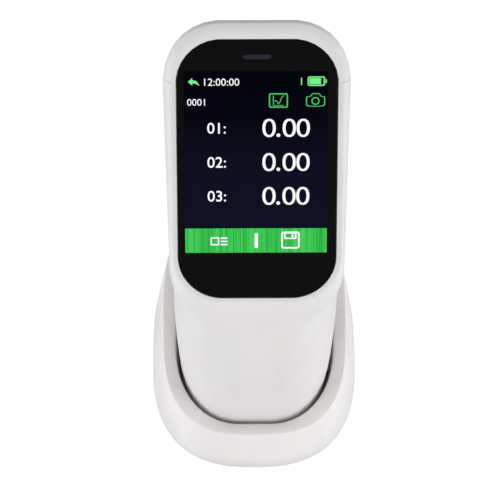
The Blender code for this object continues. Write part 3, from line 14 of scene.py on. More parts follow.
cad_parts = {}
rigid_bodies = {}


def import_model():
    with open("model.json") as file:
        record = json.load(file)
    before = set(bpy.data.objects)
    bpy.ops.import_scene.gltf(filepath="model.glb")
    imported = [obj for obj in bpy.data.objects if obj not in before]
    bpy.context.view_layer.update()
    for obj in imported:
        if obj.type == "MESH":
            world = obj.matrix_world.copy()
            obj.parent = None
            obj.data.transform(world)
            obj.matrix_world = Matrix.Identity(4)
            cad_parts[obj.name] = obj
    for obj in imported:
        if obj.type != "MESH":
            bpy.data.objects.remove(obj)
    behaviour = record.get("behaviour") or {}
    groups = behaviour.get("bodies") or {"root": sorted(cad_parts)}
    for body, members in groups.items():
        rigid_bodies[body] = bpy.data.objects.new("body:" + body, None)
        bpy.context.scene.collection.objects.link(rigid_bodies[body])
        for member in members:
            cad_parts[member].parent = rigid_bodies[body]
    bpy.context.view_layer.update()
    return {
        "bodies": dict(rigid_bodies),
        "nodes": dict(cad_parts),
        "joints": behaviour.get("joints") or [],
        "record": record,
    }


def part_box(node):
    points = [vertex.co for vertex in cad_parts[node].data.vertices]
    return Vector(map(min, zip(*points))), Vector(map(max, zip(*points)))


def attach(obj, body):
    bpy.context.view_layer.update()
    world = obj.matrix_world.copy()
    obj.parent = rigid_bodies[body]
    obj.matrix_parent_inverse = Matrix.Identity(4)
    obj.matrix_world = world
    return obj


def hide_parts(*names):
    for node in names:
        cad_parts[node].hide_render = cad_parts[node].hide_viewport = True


# Camera, as fitted to the photograph
IMAGE_WIDTH = 500
SENSOR = 36.0
FOCAL_PIXELS = 2567
ELEVATION = math.radians(63.55)
AZIMUTH = math.radians(-1.01)
ROLL = math.radians(0.69)
DISTANCE = 1.018
LOOK_AT = Vector((-0.00233, -0.00079, 0.11527))
FARTHEST_VIEW = 20

# Stage: each light has a place, a width and height, and its watts
LIGHTS = {
    "front_light": ((-0.1, -1.3, 1.0), (1.4, 0.6), 5.0),
    "left_light": ((-1.4, -0.5, 0.25), (0.9, 0.5), 10.8),
    "right_light": ((1.4, -0.5, 0.25), (0.9, 0.5), 12),
    "overhead_light": ((0.0, 0.3, 1.5), (0.9, 0.9), 1.5),
}
LIGHT_TARGET = Vector((0, 0, 0.11))
WHITE = (1, 1, 1, 1)
WORLD_STRENGTH = 0.465
FLOOR_REACH = 3
FLOOR_COLOUR = (0.80, 0.80, 0.80, 1)
FLOOR_GLOW = 0.50

# Where most of a noise lies, between 0 and 1
NOISE_SHARES = (0.3, 0.7)
NOISE_DETAIL = 4

# Moulded plastic: how fine its drift of tone, its sheen and its grain are, and how strong
TONE_FINENESS = 45
TONE_SHARES = (0.35, 0.65)
TONE_SPREAD = 0.02
SHEEN_FINENESS = 320
SHEEN_SPREAD = 0.05
GRAIN_FINENESS = 5200
GRAIN_DEPTH = 0.000012
GRAIN_DETAIL = 2
PLASTIC_IOR = 1.46
PLASTICS = {
    "shell_plastic": {"colour": (0.735, 0.724, 0.718), "roughness": 0.48},
    "strip_plastic": {"colour": (0.690, 0.680, 0.675), "roughness": 0.48},
    "cradle_plastic": {"colour": (0.803, 0.785, 0.779), "roughness": 0.54},
    "black_plastic": {"colour": (0.022, 0.022, 0.023), "roughness": 0.55, "spread": 0.06},
    "button_plastic": {"colour": (0.33, 0.34, 0.35), "roughness": 0.50, "spread": 0.03},
    "button_print": {"colour": (0.86, 0.87, 0.88), "roughness": 0.50},
    "foot_rubber": {
        "colour": (0.045, 0.045, 0.045), "roughness": 0.85,
        "grain": 2400, "depth": 0.00003, "spread": 0.08,
    },
    "indicator_plastic": {
        "colour": (0.0075, 0.0068, 0.022), "roughness": 0.28,
        "grain": 9000, "depth": 0.000004,
    },
    "battery_sleeve": {
        "colour": (0.03, 0.13, 0.36), "roughness": 0.35,
        "grain": 1800, "depth": 0.00001, "spread": 0.05,
    },
    "sphere_coating": {
        "colour": (0.86, 0.86, 0.84), "roughness": 0.85,
        "grain": 6500, "depth": 0.00002, "spread": 0.01,
    },
    "display_panel": {
        "colour": (0.006, 0.007, 0.020), "roughness": 0.25,
        "grain": 9000, "depth": 0.000002, "spread": 0.05,
    },
}

# Metal with fine lines, which run along the axis with the small stretch
LINE_STRETCH = (1, 1, 0.05)
LINE_FINENESS = 2600
LINE_SHEEN = 0.08
LINE_SHADE = 0.92
LINE_DEPTH = 0.000004
METALS = {
    "plated_steel": {"colour": (0.58, 0.58, 0.59), "roughness": 0.30},
    "port_steel": {"colour": (0.70, 0.70, 0.71), "roughness": 0.22},
    "dark_anodised": {"colour": (0.10, 0.10, 0.11), "roughness": 0.42, "stretch": (1, 0.05, 1)},
}

# Cover glass, circuit board and white tile
GLASS_FINENESS = 60
GLASS_SHEEN = (0.05, 0.09)
GLASS_TONES = ((0.0031, 0.0030, 0.0034, 1), (0.0038, 0.0037, 0.0042, 1))
GLASS_SPECULAR = 0.06
TRACE_FINENESS = 420
TRACE_SHARES = (0.04, 0.09)
TRACE_TONES = ((0.05, 0.27, 0.11, 1), (0.012, 0.12, 0.05, 1))
TRACE_DEPTH = 0.00002
BOARD_ROUGHNESS = 0.32
TILE_FINENESS = 90
TILE_TONES = ((0.86, 0.86, 0.84, 1), (0.90, 0.90, 0.88, 1))
TILE_SHEEN = (0.08, 0.14)
TILE_DEPTH = 0.00002
TILE_COAT = 0.6

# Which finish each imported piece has, by the start of its name: the first that fits counts
FINISHES = {
    "cradle_foot": "foot_rubber",
    "cradle_screw": "plated_steel",
    "cradle": "cradle_plastic",
    "tile_holder": "black_plastic",
    "calibration_tile": "white_tile_glaze",
    "front_shell": "shell_plastic",
    "rear_shell": "shell_plastic",
    "top_cap": "shell_plastic",
    "screen_bezel": "shell_plastic",
    "screen_glass": "black_cover_glass",
    "indicator_window": "indicator_plastic",
    "display_module": "display_panel",
    "display_bracket": "plated_steel",
    "main_board": "circuit_board_green",
    "antenna_board": "circuit_board_green",
    "lamp_board": "circuit_board_green",
    "optics_board": "circuit_board_green",
    "switch_board": "circuit_board_green",
    "bottom_cover": "black_plastic",
    "measuring_aperture": "black_plastic",
    "sphere": "sphere_coating",
    "lens_tube": "dark_anodised",
    "camera_module": "black_plastic",
    "optics_chassis": "dark_anodised",
    "spectrometer_module": "dark_anodised",
    "battery": "battery_sleeve",
    "measure_button": "button_plastic",
    "power_button": "button_plastic",
    "charging_port": "port_steel",
    "bottom_screw": "plated_steel",
    "housing_screw": "plated_steel",
    "bracket_screw": "plated_steel",
}

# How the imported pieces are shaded: what counts as an edge, and how round the edges are
SHARP_ANGLE = math.radians(32)
SOFT_ANGLE = math.radians(60)
FLAT_ANGLE = math.radians(1)
WELD_DISTANCE = 0.000002
EDGE_STEPS = 3
EDGES = {
    "measure_button": 0.0003,
    "power_button": 0.0002,
    "bottom_cover": 0.0003,
    "cradle_base_plate": 0.0003,
}
SOFT_PIECE = "cradle_shell"

# The lit picture, in colours from 0 to 255. The navy's stops are shares of the picture's
# height, and the green's are shares of the streaks' noise.
LIT_BASE = (0.0004, 0.0004, 0.0004, 1)
LIT_ROUGHNESS = 0.10
LIT_SPECULAR = 0.02
LIT_FINENESS = 260
LIT_SHADE = 0.97
LIT_WHITE = (252, 252, 255)
LIT_WHITE_STRENGTH = 1.05
LIT_BRIGHT_GREEN = (120, 244, 140)
LIT_LINE_GREEN = (78, 205, 104)
NAVY_STOPS = (
    (0.0, (13, 15, 36)),
    (0.45, (12, 13, 32)),
    (0.75, (4, 4, 17)),
    (1.0, (1, 1, 8)),
)
STREAK_STRETCH = (1, 0.01, 0.01)
STREAK_FINENESS = 1500
STREAK_DETAIL = 3
GREEN_STOPS = (
    (0.30, (42, 160, 64)),
    (0.46, (55, 190, 77)),
    (0.58, (58, 201, 81)),
    (0.72, (104, 216, 122)),
)

# The glass: its size, its tilt back from upright, and where the seam above the strip is
GLASS_WIDTH = 0.0599
GLASS_LENGTH = 0.1024
GLASS_THICKNESS = 0.0015
GLASS_CORNER = 0.0169
SCREEN_TILT = math.radians(42.5)
SEAM_RISE = 0.0347

# The strip's cross-section: out from the glass's edge, and up from the glass's face
STRIP_PROFILE = (
    (0.00020, -0.00140), (0.00020, -0.00010), (0.00028, 0.00000), (0.00040, 0.00004),
    (0.00055, 0.00000), (0.00142, -0.00001), (0.00148, -0.00006), (0.00148, -0.00140),
)
STRIP_STEPS = 24

# The thin layers that lie on the glass, and how far the picture's middle is above the glass's
LAYER = 0.00003
LAYER_GAP = 0.00002
PICTURE_RISE = 0.00045

# How finely outlines are cut
CURVE_STEPS = 32
CORNER_STEPS = 5
POINT_STEPS = 16
LETTER_STEPS = 4
LETTER_WELD = 0.000001
CUT_SHARE = 0.14
CUT_ROUNDS = 2
INNER_CORNER_SHARE = 0.25

# The picture: a box is left, bottom, right and top, measured from the picture's middle. A
# plate is a box and its corner radius, and a frame has a stroke too.
DISPLAY_BOX = (-0.0272, -0.0331, 0.0263, 0.0386)
BAR_TOP = -0.0233
BAR_BOX = (*DISPLAY_BOX[:3], BAR_TOP)
DISPLAY_CORNER = 0.0001

# The three readings, with a number before each
ROW_HEIGHTS = (0.0166, 0.00315, -0.0103)
ZERO_LEFTS = (0.00197, 0.00950, 0.01468)
ZERO_WIDTH = 0.00495
ZERO_HEIGHT = 0.0071
ZERO_SIDE_STROKE = 0.00106
ZERO_END_STROKE = 0.00075
ZERO_OUTER_POWER = 2.3
ZERO_INNER_POWER = 2.1
POINT_X = 0.0079
POINT_SIZE = 0.0014
ROW_LABEL_LEFT = -0.0186
ROW_LABEL_HEIGHT = 0.0042
ROW_LABEL_BOLD = 0.006

# Small writing: its lower left corner and its height
CLOCK_WRITING = ("12:00:00", (-0.0196, 0.0331), 0.0028)
COUNT_WRITING = ("0001", (-0.0260, 0.0254), 0.0026)
CELL_WRITING = ("1", (0.0162, 0.0333), 0.0028)

# Battery and arrow
BATTERY_FRAME = ((0.01866, 0.0329, 0.0251, 0.0366), 0.0007, 0.0005)
BATTERY_PLATES = (
    ((0.01935, 0.0336, 0.0236, 0.0359), 0.0002),
    ((0.02525, 0.0340, 0.02575, 0.0355), 0.0002),
)
ARROW = (
    (-0.0256, 0.0346), (-0.0240, 0.0361), (-0.0240, 0.0353), (-0.0226, 0.0349),
    (-0.0217, 0.0339), (-0.0214, 0.0330), (-0.0227, 0.0339), (-0.0240, 0.0341),
    (-0.0240, 0.0332),
)

# Graph and camera
GRAPH_FRAME = ((0.00435, 0.0245, 0.0114, 0.0301), 0.0007, 0.00045)
GRAPH_STROKE = 0.0003
GRAPH_BASE_STROKE = 0.0002
GRAPH_UPRIGHT = ((0.0060, 0.0292), (0.0060, 0.0256))
GRAPH_BASE = ((0.0058, 0.0254), (0.0098, 0.0254))
GRAPH_CURVE = (
    (0.0063, 0.0269), (0.0067, 0.0273), (0.0071, 0.0273), (0.0075, 0.0267),
    (0.0078, 0.0262), (0.0081, 0.0261), (0.0084, 0.0266), (0.0088, 0.0278),
    (0.0092, 0.0287), (0.0095, 0.0290), (0.0099, 0.0291),
)
CAMERA_SIGN = (
    (0.0181, 0.0249), (0.0252, 0.0249), (0.0252, 0.0288), (0.0237, 0.0290),
    (0.0231, 0.0301), (0.0203, 0.0301), (0.0197, 0.0290), (0.0181, 0.0288),
)
CAMERA_SIGN_MIDDLE = Vector((0.02165, 0.0272))
CAMERA_SIGN_SHARE = 0.89
LENS_MIDDLE = (0.0216, 0.0271)
LENS_OUTSIDE = 0.0030
LENS_INSIDE = 0.0022

# The signs in the bar: a list, an upright line and a disk
BAR_FRAMES = (
    ((0.0091, -0.0315, 0.0161, -0.0246), 0.0010, 0.00065),
    ((0.0102, -0.0276, 0.0149, -0.0249), 0.0003, 0.00055),
    ((-0.0176, -0.0301, -0.0143, -0.0268), 0.0004, 0.0005),
)
BAR_PLATES = (
    ((-0.00095, -0.0312, 0.0003, -0.0252), 0.0004),
    ((0.0130, -0.0268, 0.0138, -0.0258), 0.0001),
    ((-0.0138, -0.0301, -0.0112, -0.0295), 0.0001),
    ((-0.0138, -0.0288, -0.0112, -0.0282), 0.0001),
    ((-0.0138, -0.0275, -0.0112, -0.0269), 0.0001),
)

# The power sign, an open ring and a line, measured from the middle of the button's face
POWER_RADIUS = 0.0013
POWER_STROKE = 0.0003
POWER_START = math.radians(125)
POWER_SWEEP = math.radians(290)
POWER_STEPS = 28
POWER_LINE = ((0, 0.0017), (0, 0.0005))


def linear(colour):
    """A colour from 0 to 255 as the shader wants it."""
    out = []
    for value in colour:
        share = value / 255
        out.append(share / 12.92 if share <= 0.04045 else ((share + 0.055) / 1.055) ** 2.4)
    return (*out, 1)


def shade(colour, factor):
    return (colour[0] * factor, colour[1] * factor, colour[2] * factor, 1)


# Parts of materials

def new_material(name):
    material = bpy.data.materials.new(name)
    material.use_nodes = True
    tree = material.node_tree
    shader = tree.nodes["Principled BSDF"]
    return material, tree, shader


def object_place(tree):
    return tree.nodes.new("ShaderNodeTexCoord").outputs["Object"]


def stretched_place(tree, stretch):
    """The place on the object, with patterns drawn out along the axes of small stretch."""
    mapping = tree.nodes.new("ShaderNodeMapping")
    mapping.inputs["Scale"].default_value = stretch
    tree.links.new(object_place(tree), mapping.inputs["Vector"])
    return mapping.outputs["Vector"]


def noise(tree, place, fineness, detail=NOISE_DETAIL):
    node = tree.nodes.new("ShaderNodeTexNoise")
    node.inputs["Scale"].default_value = fineness
    node.inputs["Detail"].default_value = detail
    tree.links.new(place, node.inputs["Vector"])
    return node.outputs["Fac"]


def between(tree, share, low, high):
    """A number that goes from low to high with a noise."""
    node = tree.nodes.new("ShaderNodeMapRange")
    node.inputs["From Min"].default_value = NOISE_SHARES[0]
    node.inputs["From Max"].default_value = NOISE_SHARES[1]
    node.inputs["To Min"].default_value = low
    node.inputs["To Max"].default_value = high
    tree.links.new(share, node.inputs["Value"])
    return node.outputs["Result"]


def colours(tree, share, stops):
    """A colour that follows the share through the stops."""
    node = tree.nodes.new("ShaderNodeValToRGB")
    ramp = node.color_ramp
    while len(ramp.elements) < len(stops):
        ramp.elements.new(1)
    for element, (place, colour) in zip(ramp.elements, stops):
        element.position = place
        element.color = colour
    tree.links.new(share, node.inputs["Fac"])
    return node.outputs["Color"]


def two_tones(tree, share, tones, shares=NOISE_SHARES):
    """A colour that goes from one tone to the other."""
    return colours(tree, share, list(zip(shares, tones)))


def bump(tree, shader, height, depth):
    node = tree.nodes.new("ShaderNodeBump")
    node.inputs["Distance"].default_value = depth
    tree.links.new(height, node.inputs["Height"])
    tree.links.new(node.outputs["Normal"], shader.inputs["Normal"])


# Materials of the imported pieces

def moulded_plastic(
    name, colour, roughness, grain=GRAIN_FINENESS, depth=GRAIN_DEPTH, spread=TONE_SPREAD,
):
    """Spark-eroded mould texture, with a faint drift of tone and sheen."""
    material, tree, shader = new_material(name)
    place = object_place(tree)
    drift = noise(tree, place, TONE_FINENESS)
    tones = (shade(colour, 1 - spread), shade(colour, 1 + spread))
    tree.links.new(two_tones(tree, drift, tones, TONE_SHARES), shader.inputs["Base Color"])
    cloud = noise(tree, place, SHEEN_FINENESS)
    sheen = between(tree, cloud, roughness - SHEEN_SPREAD, roughness + SHEEN_SPREAD)
    tree.links.new(sheen, shader.inputs["Roughness"])
    bump(tree, shader, noise(tree, place, grain, GRAIN_DETAIL), depth)
    shader.inputs["IOR"].default_value = PLASTIC_IOR
    return material


def metal(name, colour, roughness, stretch=LINE_STRETCH):
    """Metal with fine lines along one direction."""
    material, tree, shader = new_material(name)
    shader.inputs["Metallic"].default_value = 1
    lines = noise(tree, stretched_place(tree, stretch), LINE_FINENESS)
    sheen = between(tree, lines, roughness - LINE_SHEEN, roughness + LINE_SHEEN)
    tree.links.new(sheen, shader.inputs["Roughness"])
    tones = (shade(colour, LINE_SHADE), shade(colour, 1))
    tree.links.new(two_tones(tree, lines, tones), shader.inputs["Base Color"])
    bump(tree, shader, lines, LINE_DEPTH)
    return material


def black_glass():
    """Cover glass with black print on its back and a coating that kills most reflection."""
    material, tree, shader = new_material("black_cover_glass")
    haze = noise(tree, object_place(tree), GLASS_FINENESS)
    tree.links.new(between(tree, haze, *GLASS_SHEEN), shader.inputs["Roughness"])
    tree.links.new(two_tones(tree, haze, GLASS_TONES), shader.inputs["Base Color"])
    shader.inputs["Specular IOR Level"].default_value = GLASS_SPECULAR
    return material


def circuit_board():
    """Green solder mask with paler traces under it."""
    material, tree, shader = new_material("circuit_board_green")
    cells = tree.nodes.new("ShaderNodeTexVoronoi")
    cells.distance = "MANHATTAN"
    cells.feature = "DISTANCE_TO_EDGE"
    cells.inputs["Scale"].default_value = TRACE_FINENESS
    tree.links.new(object_place(tree), cells.inputs["Vector"])
    edge = cells.outputs["Distance"]
    tree.links.new(two_tones(tree, edge, TRACE_TONES, TRACE_SHARES), shader.inputs["Base Color"])
    shader.inputs["Roughness"].default_value = BOARD_ROUGHNESS
    bump(tree, shader, edge, TRACE_DEPTH)
    return material


def glazed_white():
    """Fired white tile under a clear glaze."""
    material, tree, shader = new_material("white_tile_glaze")
    drift = noise(tree, object_place(tree), TILE_FINENESS)
    tree.links.new(two_tones(tree, drift, TILE_TONES), shader.inputs["Base Color"])
    tree.links.new(between(tree, drift, *TILE_SHEEN), shader.inputs["Roughness"])
    bump(tree, shader, drift, TILE_DEPTH)
    shader.inputs["Coat Weight"].default_value = TILE_COAT
    return material


def make_finishes():
    """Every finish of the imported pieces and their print, by name."""
    finishes = {}
    for name, values in PLASTICS.items():
        finishes[name] = moulded_plastic(name, **values)
    for name, values in METALS.items():
        finishes[name] = metal(name, **values)
    for material in (black_glass(), circuit_board(), glazed_white()):
        finishes[material.name] = material
    return finishes


# Materials of the lit picture

def dark_screen(name, strength=1):
    """Part of the display, whose light is still to be linked."""
    material, tree, shader = new_material(name)
    shader.inputs["Base Color"].default_value = LIT_BASE
    shader.inputs["Roughness"].default_value = LIT_ROUGHNESS
    shader.inputs["Specular IOR Level"].default_value = LIT_SPECULAR
    shader.inputs["Emission Strength"].default_value = strength
    return material, tree, shader.inputs["Emission Color"]


def lit(name, colour, strength=1):
    """A sign or number on the display, in one colour."""
    material, tree, light = dark_screen(name, strength)
    glow = noise(tree, object_place(tree), LIT_FINENESS)
    full = linear(colour)
    tree.links.new(two_tones(tree, glow, (shade(full, LIT_SHADE), full)), light)
    return material


def display_background(low, high):
    """Deep navy that grows darker from the low to the high end of the picture."""
    material, tree, light = dark_screen("display_navy_picture")
    split = tree.nodes.new("ShaderNodeSeparateXYZ")
    tree.links.new(object_place(tree), split.inputs["Vector"])
    height = tree.nodes.new("ShaderNodeMapRange")
    height.inputs["From Min"].default_value = low
    height.inputs["From Max"].default_value = high
    tree.links.new(split.outputs["Z"], height.inputs["Value"])
    stops = [(share, linear(colour)) for share, colour in NAVY_STOPS]
    tree.links.new(colours(tree, height.outputs["Result"], stops), light)
    return material


def bar_green():
    """The lit green bar, with its fine upright streaks."""
    material, tree, light = dark_screen("display_green_bar")
    place = stretched_place(tree, STREAK_STRETCH)
    streaks = noise(tree, place, STREAK_FINENESS, STREAK_DETAIL)
    stops = [(share, linear(colour)) for share, colour in GREEN_STOPS]
    tree.links.new(colours(tree, streaks, stops), light)
    return material


# Materials of the stage

def camera_sees(tree, seen, plain):
    """One shader for rays from the camera, and a plain one for all other light."""
    path = tree.nodes.new("ShaderNodeLightPath")
    mix = tree.nodes.new("ShaderNodeMixShader")
    tree.links.new(path.outputs["Is Camera Ray"], mix.inputs["Fac"])
    tree.links.new(plain, mix.inputs[1])
    tree.links.new(seen, mix.inputs[2])
    return mix.outputs["Shader"]


def floor_material():
    """Pale floor that shows white to the camera and keeps a soft shadow."""
    material, tree, shader = new_material("pale_floor")
    tree.nodes.remove(shader)
    soft = tree.nodes.new("ShaderNodeBsdfDiffuse")
    soft.inputs["Color"].default_value = FLOOR_COLOUR
    glow = tree.nodes.new("ShaderNodeEmission")
    glow.inputs["Strength"].default_value = FLOOR_GLOW
    both = tree.nodes.new("ShaderNodeAddShader")
    tree.links.new(soft.outputs["BSDF"], both.inputs[0])
    tree.links.new(glow.outputs["Emission"], both.inputs[1])
    surface = camera_sees(tree, both.outputs["Shader"], soft.outputs["BSDF"])
    tree.links.new(surface, tree.nodes["Material Output"].inputs["Surface"])
    return material


# Flat outlines in the plane of the screen: X to the right, Y up the screen

def oval(centre, width, height, power=2, steps=CURVE_STEPS):
    """A round outline, which grows squarer with a power over 2."""
    points = []
    for step in range(steps):
        turn = 2 * math.pi * step / steps
        c, s = math.cos(turn), math.sin(turn)
        x = centre[0] + width / 2 * math.copysign(abs(c) ** (2 / power), c)
        y = centre[1] + height / 2 * math.copysign(abs(s) ** (2 / power), s)
        points.append((x, y))
    return points


def round_rectangle(box, radius):
    left, bottom, right, top = box
    corners = (
        (right - radius, top - radius),
        (left + radius, top - radius),
        (left + radius, bottom + radius),
        (right - radius, bottom + radius),
    )
    points = []
    for quarter, (x, y) in enumerate(corners):
        for step in range(CORNER_STEPS + 1):
            turn = math.pi / 2 * (quarter + step / CORNER_STEPS)
            points.append((x + radius * math.cos(turn), y + radius * math.sin(turn)))
    return points


def ribbon(points, width):
    """A strip of even width along a line of points."""
    left = []
    right = []
    for place, point in enumerate(points):
        before = Vector(points[max(place - 1, 0)])
        after = Vector(points[min(place + 1, len(points) - 1)])
        along = (after - before).normalized()
        side = Vector((-along.y, along.x)) * width / 2
        left.append(tuple(Vector(point) + side))
        right.append(tuple(Vector(point) - side))
    return left + right[::-1]


def round_off(points):
    """The same closed outline with its corners cut again and again."""
    for _ in range(CUT_ROUNDS):
        smoother = []
        for place, point in enumerate(points):
            here = Vector(point)
            ahead = Vector(points[(place + 1) % len(points)])
            smoother.append(tuple(here.lerp(ahead, CUT_SHARE)))
            smoother.append(tuple(ahead.lerp(here, CUT_SHARE)))
        points = smoother
    return points


def flat_text(text, bold):
    """Digits and signs in the built-in font, as a flat mesh."""
    curve = bpy.data.curves.new("writing", "FONT")
    curve.body = text
    curve.offset = bold
    curve.resolution_u = LETTER_STEPS
    writer = bpy.data.objects.new(curve.name, curve)
    bpy.context.scene.collection.objects.link(writer)
    bpy.context.view_layer.update()
    flat = bpy.data.meshes.new_from_object(writer)
    bpy.data.objects.remove(writer)
    bpy.data.curves.remove(curve)
    return flat


# Pieces that the scene adds

def new_piece(name, shape, material, body):
    """Makes a shape one piece of the part, which moves with a body."""
    mesh = bpy.data.meshes.new(name)
    shape.to_mesh(mesh)
    shape.free()
    mesh.materials.append(material)
    piece = bpy.data.objects.new(name, mesh)
    bpy.context.scene.collection.objects.link(piece)
    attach(piece, body)
    return piece


class Picture:
    """Collects flat shapes of one colour, and makes them one thin piece."""

    def __init__(self, name, material, layer):
        self.name = name
        self.material = material
        self.low = LAYER_GAP + layer * (LAYER + LAYER_GAP)
        self.mesh = bmesh.new()

    def corners(self, outline):
        return [self.mesh.verts.new((x, y, self.low)) for x, y in outline]

    def fill(self, outline):
        self.thicken([self.mesh.faces.new(self.corners(outline))])

    def band(self, outer, inner):
        """The space between two outlines with as many points."""
        outside = self.corners(outer)
        inside = self.corners(inner)
        faces = []
        for place in range(len(outer)):
            ahead = (place + 1) % len(outer)
            corners = (outside[place], outside[ahead], inside[ahead], inside[place])
            faces.append(self.mesh.faces.new(corners))
        self.thicken(faces)

    def thicken(self, faces):
        grown = bmesh.ops.extrude_face_region(self.mesh, geom=faces)
        top = [item for item in grown["geom"] if isinstance(item, bmesh.types.BMVert)]
        bmesh.ops.translate(self.mesh, verts=top, vec=(0, 0, LAYER))

    def plate(self, box, radius):
        self.fill(round_rectangle(box, radius))

    def frame(self, box, radius, stroke):
        left, bottom, right, top = box
        inside = (left + stroke, bottom + stroke, right - stroke, top - stroke)
        inner_radius = max(radius - stroke, stroke * INNER_CORNER_SHARE)
        self.band(round_rectangle(box, radius), round_rectangle(inside, inner_radius))

    def write(self, text, corner, height, bold=0):
        """Writing with this lower left corner and this height."""
        flat = flat_text(text, bold)
        start = min(vert.co.x for vert in flat.vertices)
        scale = height / max(vert.co.y for vert in flat.vertices)
        for vert in flat.vertices:
            x = corner[0] + (vert.co.x - start) * scale
            y = corner[1] + vert.co.y * scale
            vert.co = (x, y, self.low)
        known = len(self.mesh.faces)
        self.mesh.from_mesh(flat)
        bpy.data.meshes.remove(flat)
        bmesh.ops.remove_doubles(self.mesh, verts=self.mesh.verts[:], dist=LETTER_WELD)
        self.mesh.faces.ensure_lookup_table()
        self.thicken(self.mesh.faces[known:])

    def place(self, where, body="instrument", slot="display_module"):
        bmesh.ops.recalc_face_normals(self.mesh, faces=self.mesh.faces[:])
        self.mesh.transform(where)
        new_piece(self.name, self.mesh, self.material, body)


def draw_zero(picture, left, middle):
    centre = (left + ZERO_WIDTH / 2, middle)
    width = ZERO_WIDTH - 2 * ZERO_SIDE_STROKE
    height = ZERO_HEIGHT - 2 * ZERO_END_STROKE
    outer = oval(centre, ZERO_WIDTH, ZERO_HEIGHT, ZERO_OUTER_POWER)
    picture.band(outer, oval(centre, width, height, ZERO_INNER_POWER))


def draw_readings(screen, white):
    """Three readings of 0.00, with their numbers."""
    picture = Picture("display_readings", white, 1)
    for number, middle in enumerate(ROW_HEIGHTS, 1):
        for left in ZERO_LEFTS:
            draw_zero(picture, left, middle)
        point = (POINT_X, middle - ZERO_HEIGHT / 2 + POINT_SIZE / 2)
        picture.fill(oval(point, POINT_SIZE, POINT_SIZE, steps=POINT_STEPS))
        corner = (ROW_LABEL_LEFT, middle - ROW_LABEL_HEIGHT / 2)
        picture.write(f"0{number}:", corner, ROW_LABEL_HEIGHT, ROW_LABEL_BOLD)
    picture.place(screen)


def draw_status(screen, white):
    picture = Picture("display_status_numbers", white, 1)
    picture.write(*CLOCK_WRITING)
    picture.write(*COUNT_WRITING)
    picture.place(screen)


def draw_battery(screen, green):
    """The battery with its number, and the arrow at the other end of the line."""
    picture = Picture("display_battery_sign", green, 1)
    picture.frame(*BATTERY_FRAME)
    for plate in BATTERY_PLATES:
        picture.plate(*plate)
    picture.write(*CELL_WRITING)
    picture.fill(ARROW)
    picture.place(screen)


def draw_tool_signs(screen, green):
    """A graph in its frame, and a camera."""
    picture = Picture("display_tool_signs", green, 1)
    picture.frame(*GRAPH_FRAME)
    picture.fill(ribbon(GRAPH_UPRIGHT, GRAPH_STROKE))
    picture.fill(ribbon(GRAPH_BASE, GRAPH_BASE_STROKE))
    picture.fill(ribbon(GRAPH_CURVE, GRAPH_STROKE))
    inside = []
    for point in CAMERA_SIGN:
        inside.append(CAMERA_SIGN_MIDDLE + (Vector(point) - CAMERA_SIGN_MIDDLE) * CAMERA_SIGN_SHARE)
    picture.band(round_off(CAMERA_SIGN), round_off(inside))
    lens = oval(LENS_MIDDLE, LENS_OUTSIDE, LENS_OUTSIDE)
    picture.band(lens, oval(LENS_MIDDLE, LENS_INSIDE, LENS_INSIDE))
    picture.place(screen)


def draw_bar(screen, green, white):
    bar = Picture("display_green_bar", green, 1)
    bar.plate(BAR_BOX, DISPLAY_CORNER)
    bar.place(screen)
    signs = Picture("display_bar_signs", white, 2)
    for plate in BAR_PLATES:
        signs.plate(*plate)
    for frame in BAR_FRAMES:
        signs.frame(*frame)
    signs.place(screen)


def glass_place():
    """The frame of the glass: its origin is the middle of the front face."""
    low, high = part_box("screen_glass")
    centre = (Vector(low) + Vector(high)) / 2
    turn = Matrix.Rotation(math.pi / 2 - SCREEN_TILT, 4, "X")
    outward = turn @ Vector((0, 0, GLASS_THICKNESS / 2))
    return Matrix.Translation(centre + outward) @ turn


def make_display():
    """The lit picture and what is on it."""
    screen = glass_place() @ Matrix.Translation((0, PICTURE_RISE, 0))
    left, bottom, right, top = DISPLAY_BOX
    low = (screen @ Vector((left, bottom, 0))).z
    high = (screen @ Vector((right, top, 0))).z
    sheet = Picture("display_picture", display_background(low, high), 0)
    sheet.plate(DISPLAY_BOX, DISPLAY_CORNER)
    sheet.place(screen)
    white = lit("display_white", LIT_WHITE, LIT_WHITE_STRENGTH)
    draw_readings(screen, white)
    draw_status(screen, white)
    draw_battery(screen, lit("display_bright_green", LIT_BRIGHT_GREEN))
    draw_tool_signs(screen, lit("display_line_green", LIT_LINE_GREEN))
    draw_bar(screen, bar_green(), white)


def strip_line():
    """Corner centres and outward directions, from the left end of the strip to its right end."""
    side = GLASS_WIDTH / 2 - GLASS_CORNER
    low = GLASS_CORNER - GLASS_LENGTH / 2
    line = [((-side, SEAM_RISE), math.pi)]
    for centre, start in (((-side, low), math.pi), ((side, low), 1.5 * math.pi)):
        for step in range(STRIP_STEPS + 1):
            line.append((centre, start + math.pi / 2 * step / STRIP_STEPS))
    line.append(((side, SEAM_RISE), 2 * math.pi))
    return line


def strip_section(shape, centre, turn):
    """The strip's cross-section at one place along the edge of the glass."""
    section = []
    for out, height in STRIP_PROFILE:
        reach = GLASS_CORNER + out
        x = centre[0] + reach * math.cos(turn)
        y = centre[1] + reach * math.sin(turn)
        section.append(shape.verts.new((x, y, height)))
    return section


def make_strip(material):
    """The strip round the glass below the seam, with a fine lip beside the glass."""
    shape = bmesh.new()
    sections = [strip_section(shape, centre, turn) for centre, turn in strip_line()]
    count = len(STRIP_PROFILE)
    for near, far in zip(sections, sections[1:]):
        for place in range(count):
            ahead = (place + 1) % count
            shape.faces.new((near[place], near[ahead], far[ahead], far[place]))
    shape.faces.new(sections[0])
    shape.faces.new(sections[-1][::-1])
    bmesh.ops.recalc_face_normals(shape, faces=shape.faces[:])
    shape.transform(glass_place())
    strip = new_piece("glass_strip", shape, material, "instrument")
    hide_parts("screen_bezel")


